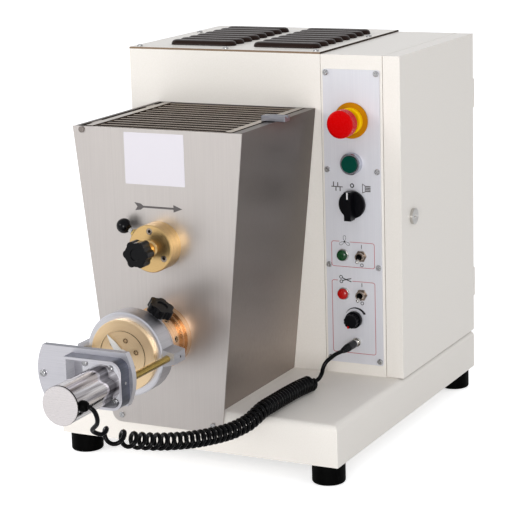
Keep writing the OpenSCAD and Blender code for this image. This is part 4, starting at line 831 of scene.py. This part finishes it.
class OBJECT_OT_hopper(PieceOperator, bpy.types.Operator):
    """Adds the stainless kneading hopper with its front plate, label and arrow"""
    bl_idname = "pasta_maker.hopper"
    bl_label = "Kneading hopper"

    def execute(self, context):
        eased("hopper_front", "hopper_front_plate", 0.45, "plate_steel")
        eased("hopper_body", "hopper_trough", 0.5, "side_sheet", corner=40)
        label = rounded_box(113.3, 284, 197.5, 349, 1.0, 3)
        prism("hopper_label", label, PLATE_Y - 0.25, PLATE_Y, "paper", "machine", edge=0.08)
        self.arrow()
        return {"FINISHED"}

    def arrow(self):
        """Etched arrow that shows which way the mixer turns."""
        z = 256
        fills = [[(124.5, z + 5.1), (133.4, z + 3.9), (137.2, z + 1.2), (137.2, z - 1.2), (133.4, z - 3.9),
                  (125.4, z - 5.1), (128.8, z)],
                 [(137, z + 1.25), (137, z - 1.25), (180.2, z - 1.25), (180.2, z + 1.25)],
                 [(179.9, z + 4.7), (192.4, z), (179.9, z - 4.7)]]
        printed("hopper_arrow", [], fills, "ink_grey", 0.08, PLATE_Y)


class OBJECT_OT_lid(PieceOperator, bpy.types.Operator):
    """Adds the grille lid with its pivot rod and latch"""
    bl_idname = "pasta_maker.lid"
    bl_label = "Grille lid"

    def execute(self, context):
        grille = eased("lid_grille", "hopper_grille", 0.5, "bar_steel", corner=50)
        # the bars' undersides get painted shade; their tops keep the lit steel
        repaint(grille, "bar_shadow", lambda p, n: abs(p.x - HOP_X) < 92.9 and n.z < 0.74)
        eased("lid_latch", "grille_latch", 0.8, "edge_alu")
        eased("lid_rod", "grille_pivot_rod", 0.5, "side_steel")
        return {"FINISHED"}


class OBJECT_OT_mixer_bearing(PieceOperator, bpy.types.Operator):
    """Adds the bronze boss of the mixer shaft with its screws, pull pin and lobed knob"""
    bl_idname = "pasta_maker.mixer_bearing"
    bl_label = "Mixer bearing"

    def execute(self, context):
        eased("mixer_boss", "mixer_bearing_boss", 0.8, "boss_bronze", 3, 40)
        eased("pin_sleeve", "pull_pin_sleeve", 0.4, "hub_brass", 3, 40)
        pin = eased("pull_pin", "pull_pin_and_ball", 0.3, "black_knob", corner=50)
        ball = Vector((116.5, -229, 233.25))
        repaint(pin, "chrome", lambda p, n: (p - ball).length > 9.6)
        eased("shaft_knob", "shaft_lobed_knob", 1.6, "black_knob", 4, 40)
        for k, turn in enumerate((90, 330, 210)):
            x, z = polar(turn)
            socket_screw("boss_screw_%d" % k, (HOP_X + 22 * x, -239.75, MIX_Z + 22 * z), FRONT, 4.9, "toggle")
        return {"FINISHED"}


class OBJECT_OT_extruder(PieceOperator, bpy.types.Operator):
    """Adds the bronze barrel, its clamping knob, the die ring, the die and its brass inserts"""
    bl_idname = "pasta_maker.extruder"
    bl_label = "Barrel and die"

    def execute(self, context):
        eased("barrel", "extruder_barrel", 0.8, "barrel_bronze", 3, 40)
        eased("clamp_knob", "ring_lobed_knob", 1.5, "black_knob", 4, 40)
        clamp = eased("die_ring", "die_clamp_ring", 0.8, "ring_alu", 3, 40, split=True)
        repaint(clamp, "rim_alu", lambda p, n: n.y < -0.6 and p.y < -309
                and off_axis(p, HOP_X, EXT_Z) < 53)
        die = eased("die_plate", "pasta_die", 0.4, "die_bronze", 2, 40)
        repaint(die, "slot", lambda p, n: p.y > -315.9 and p.y < -314.9
                and abs(off_axis(p, HOP_X, EXT_Z) - 31) < 0.7)
        nozzles = eased("die_inserts", "die_nozzles", 0.15, "insert_brass", 2, 40)
        repaint(nozzles, "slot", lambda p, n: p.y > -315.9 and p.y < -312)
        for k, turn in enumerate((8, 54)):
            x, z = polar(turn)
            out = Vector((x, 0, z))
            socket_screw("barrel_screw_%d" % k, Vector((HOP_X, -242, EXT_Z)) + out * 32.4, out, 4.6)
        return {"FINISHED"}


class OBJECT_OT_cutter(PieceOperator, bpy.types.Operator):
    """Adds the cutter: bracket, guide rods, motor, gears, spindle and knife"""
    bl_idname = "pasta_maker.cutter"
    bl_label = "Cutter"

    def execute(self, context):
        bracket = eased("cutter_bracket", "cutter_bracket_body", 0.5, "plate_alu", 2, 40)
        for name, way in (("painted_shade_frame_alu", 1), ("painted_light_alu", -1)):  # the frame's outer faces get painted shade, its inner faces painted light
            repaint(bracket, name, lambda p, n: p.y < -404.3 and abs(n.y) < 0.5
                    and way * ((p.x - FRAME_X) * n.x + (p.z - FRAME_Z) * n.z) > 0)
        # the bracket's upward faces get painted shade
        repaint(bracket, "edge_alu", lambda p, n: p.y > -403.2 and n.z > 0.6)
        eased("guide_rods", "cutter_guide_rods", 0.4, "rod_brass", 2, 40)
        motor = eased("cutter_motor", "cutter_motor_can", 0.3, "can", 2, 40)
        repaint(motor, "can_cap", lambda p, n: p.y < -500)
        repaint(motor, "groove", lambda p, n: -501.2 < p.y < -498.7 and (abs(n.y) > 0.5
                or off_axis(p, CAN_X, CAN_Z) < 22.9))
        # the motor's flange, deep in the frame, gets painted light
        repaint(motor, "painted_light_alu", lambda p, n: p.y > FLANGE_Y - 0.1)
        lathe("motor_cap_joint", [(22.6, -501.1), (23.45, -501.1), (23.45, -499.3), (22.6, -499.3)],
              (CAN_X, 0, CAN_Z), BACK, "groove", body_of("cutter_motor"), 72)
        gland = lathe("cutter_cord_gland", bevelled([(0, -1.5), (6.8, -1.5), (6.8, 4.4), (4.6, 8.6), (0, 8.6)], 2.4, 5),
                      (208.4, -492, CAN_Z), RIGHT, "rubber", body_of("cord_gland"), 40)
        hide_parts("cord_gland")
        eased("gear_cover", "cutter_gear_cover", 0.3, "plate_alu", 2, 40)
        eased("knife_blade", "pasta_knife", 0.5, "white_plastic", 2, 40)
        for k, (x, z) in enumerate(((163.1, 109.5), (197.5, 106.4), (202.5, 66.6))):
            cross_screw("motor_screw_%d" % k, (x, FLANGE_Y, z), FRONT, 3.8)
        cross_screw("bracket_end_screw", (101, -403.5, FRAME_Z), FRONT, 4.4)
        socket_screw("frame_set_screw", (218.96, -412, 92), RIGHT, 1.8)
        finish("knife_spindle", "zinc")
        finish("cutter_pinion", "nylon")
        return {"FINISHED"}


class OBJECT_OT_panel(PieceOperator, bpy.types.Operator):
    """Adds the control panel with its printed marks"""
    bl_idname = "pasta_maker.panel"
    bl_label = "Control panel"

    def execute(self, context):
        eased("control_panel", "panel_plate", 0.3, "foil")
        red = [(self.open_box(295.4, 146, 356.2, 179.5, 3, 306.5, 321.5), 0.7, False),
               (self.open_box(295, 29.4, 356.2, 127, 3, 303.5, 324), 0.7, False)]
        printed("panel_red_outlines", red, [], "ink_red", 0.06, FOIL_Y)
        marks = [(circle(x, z, r, 20), wide, True)
                 for x, z, r, wide in ((326.2, 254.7, 2.3, 1.3), (338.2, 149.4, 2.0, 0.8), (337.8, 98.1, 2.0, 0.8))]
        marks += [(self.petal(314, 179.4, turn), 0.5, True) for turn in (90, 210, 330)]
        marks += [(circle(308.0, 131.6, 2.0, 18), 0.95, True), (circle(308.4, 125.6, 2.0, 18), 0.95, True),
                  ([(309.8, 130.6), (315, 128.5), (322.8, 126.0)], 1.2, False),
                  ([(310.2, 126.7), (315, 128.5), (322.8, 130.4)], 1.2, False)]
        bold = [([(296.8, 252.2), (312.9, 252.2)], 1.2, False)]
        for x, tip in ((299.9, 258.6), (305.9, 258), (303.3, 246.6), (309.2, 246.4)):
            bold += [([(x, 252.2), (x, tip)], 1.4, False)]
        bold += [([(340.9, 257.4), (344.6, 255.5), (344.6, 247.4), (340.9, 245.9)], 0.9, True)]
        bold += [([(345.2, z), (352.2, z)], 1.5, False) for z in (254.6, 252.5, 250.4, 248.3)]
        ones = [rounded_box(x - 0.5, z - 2.6, x + 0.5, z + 2.6, 0.2, 2) for x, z in ((338, 174.3), (337.7, 122.8))]
        printed("panel_bold_marks", bold, ones, "ink_grey", 0.06, FOIL_Y)
        fills = [circle(314, 179.4, 1.2, 14)]
        inner, outer, growth = 14.2, 14.5, 0.12  # the speed's arc round its knob, mm
        arc = [polar(152 - 5 * k) for k in range(26)]
        fills.append([(PANEL_X + inner * x, SPEED_Z + inner * z) for x, z in arc]
                     + [(PANEL_X + (outer + growth * k) * x, SPEED_Z + (outer + growth * k) * z)
                        for k, (x, z) in reversed(list(enumerate(arc)))])
        printed("panel_black_marks", marks, fills, "ink_black", 0.06, FOIL_Y)
        return {"FINISHED"}

    def open_box(self, x0, z0, x1, z1, radius, left, right):
        """Rounded rectangle whose top line is open between left and right."""
        steps = 5
        outline = rounded_box(x0, z0, x1, z1, radius, steps)
        return [(left, z1)] + outline[steps + 1:] + outline[:steps + 1] + [(right, z1)]

    def petal(self, x, z, turn):
        """Outline of one fan blade."""
        out = []
        steps = 20
        a = math.radians(turn)
        for k in range(steps):
            t = 2 * math.pi * k / steps
            reach = 1.0 + 7.2 * (1 - math.cos(t)) / 2
            wide = 2.3 * math.sin(t) * (0.5 + 0.5 * (1 - math.cos(t)) / 2)
            out.append((x + reach * math.cos(a) - wide * math.sin(a), z + reach * math.sin(a) + wide * math.cos(a)))
        return out


class OBJECT_OT_controls(PieceOperator, bpy.types.Operator):
    """Adds the stop button, start button, selector, toggles, lamps, speed knob, socket and door lock"""
    bl_idname = "pasta_maker.controls"
    bl_label = "Knobs and buttons"

    def execute(self, context):
        collar = eased("estop_collar", "stop_button_collar", 0.8, "yellow", 3, 40)
        # the disc under the head gets painted shade, the neck keeps the bright yellow
        repaint(collar, "amber", lambda p, n: -5.6 < p.y < -1.9)
        eased("estop_head", "stop_button_head", 1.2, "red", 4, 25, split=True)
        eased("operator_bodies", "button_bezels", 0.5, "bezel", 3, 40, split=True)
        eased("start_button", "start_button_cap", 0.35, "green_lens", 3, 40)
        eased("selector_knob", "selector_handle", 0.9, "black_satin", 3, 40, split=True)
        prism("selector_line", rounded_box(PANEL_X - 0.9, 239.6, PANEL_X + 0.9, 248.6, 0.4, 2), -20.75, -19.6,
              "ink_white", "selector")
        lamps = eased("pilot_lamps", "panel_lamps", 0.5, "green_lamp", 2, 40)
        repaint(lamps, "chrome", lambda p, n: p.y > -4.05)
        bezel = [(7.0, 2.0), (8.3, 2.0), (8.3, 3.2), (7.6, 4.3), (7.0, 4.3)]
        lens = [(0, 4.0), (7.3, 4.0), (7.3, 6.6), (6.5, 8.0), (4.2, 8.9), (0, 9.2)]
        for z, colour in ((FAN_Z, "green_lamp"), (CUTTER_Z, "red_lamp")):
            lathe(colour + "_bezel", bevelled(bezel, 0.4, 2) + [bezel[0]], (LAMP_X, 0, z), FRONT, "chrome",
                  "machine", 48)
            lathe(colour + "_lens", bevelled(lens, 0.9, 4), (LAMP_X, 0, z), FRONT, colour, "machine", 48)
        eased("toggle_switches", "toggle_bushes", 0.4, "toggle", 2, 40)
        for node, z in (("fan_toggle", FAN_Z), ("cutter_toggle", CUTTER_Z)):
            finish(node, "chrome")
            lathe(node + "_seal", [(0, 9.0), (2.2, 9.0), (4.1, 10.1), (4.1, 9.7), (2.2, 8.6), (0, 8.6)],
                  (TOGGLE_X, 0, z), FRONT, "rubber", "machine", 32)
        eased("speed_knob", "speed_dial", 0.6, "black_satin", 2, 40)
        along, across = Vector(polar(-112)), Vector(polar(-112 + 90))
        foot = Vector((PANEL_X, SPEED_Z))
        mark = [tuple(foot + along * a + across * b) for a, b in ((6.6, -1.1), (9.9, -1.1), (9.9, 1.1), (6.6, 1.1))]
        prism("speed_dial_pointer", mark, -18.7, -13.0, "red", "speed_knob")
        finish("speed_pot", "zinc")
        eased("panel_jack", "cord_socket", 0.3, "chrome", 2, 40)
        eased("door_lock", "door_key_lock", 0.5, "chrome", 2, 40)
        eased("feet", "rubber_feet", 0.8, "rubber", 2, 50)
        eased("casing_screws", "casing_screw_heads", 0.25, "zinc", 2, 40)
        return {"FINISHED"}


class OBJECT_OT_inside(PieceOperator, bpy.types.Operator):
    """Finishes the drive, the screw, the mixer and the electrical parts inside"""
    bl_idname = "pasta_maker.inside"
    bl_label = "Inside works"

    def execute(self, context):
        for node, name in (("mixer_shaft", "side_steel"), ("auger", "side_steel"), ("mixer_gear", "gear_steel"),
                           ("auger_gear", "gear_steel"), ("drive_pinion", "gear_steel"),
                           ("bearing_plate", "gear_steel"), ("shaft_bearings", "zinc"), ("drive_motor", "enamel"),
                           ("contactors", "grey_plastic"), ("mains_gland", "black_satin"),
                           ("fan_frame", "black_satin"), ("fan_rotor", "black_satin")):
            finish(node, name)
        return {"FINISHED"}


STEPS = (OBJECT_OT_stage, OBJECT_OT_cord, OBJECT_OT_casing, OBJECT_OT_louvers, OBJECT_OT_hopper, OBJECT_OT_lid,
         OBJECT_OT_mixer_bearing, OBJECT_OT_extruder, OBJECT_OT_cutter, OBJECT_OT_panel, OBJECT_OT_controls,
         OBJECT_OT_inside)


class VIEW3D_PT_pasta_maker(bpy.types.Panel):
    """Lists the pieces that can be made and the sizes they take"""
    bl_label = "Pasta maker"
    bl_idname = "VIEW3D_PT_pasta_maker"
    bl_space_type = "VIEW_3D"
    bl_region_type = "UI"
    bl_category = "Pasta maker"

    def draw(self, context):
        for name in ("cord_diameter", "curl_diameter", "curl_turns", "sheet_edge", "floor_colour", "key_power",
                     "fill_power"):
            self.layout.prop(settings(), name)
        for step in STEPS:
            self.layout.operator(step.bl_idname)


CLASSES = (PastaMakerSettings, *STEPS, VIEW3D_PT_pasta_maker)


def register():
    for made in CLASSES:
        bpy.utils.register_class(made)
    bpy.types.Scene.pasta_maker = PointerProperty(type=PastaMakerSettings)


def unregister():
    del bpy.types.Scene.pasta_maker
    for made in reversed(CLASSES):
        bpy.utils.unregister_class(made)


def main():
    register()
    for step in STEPS:
        group, name = step.bl_idname.split(".")
        getattr(getattr(bpy.ops, group), name)()


if __name__ == "__main__":
    main()
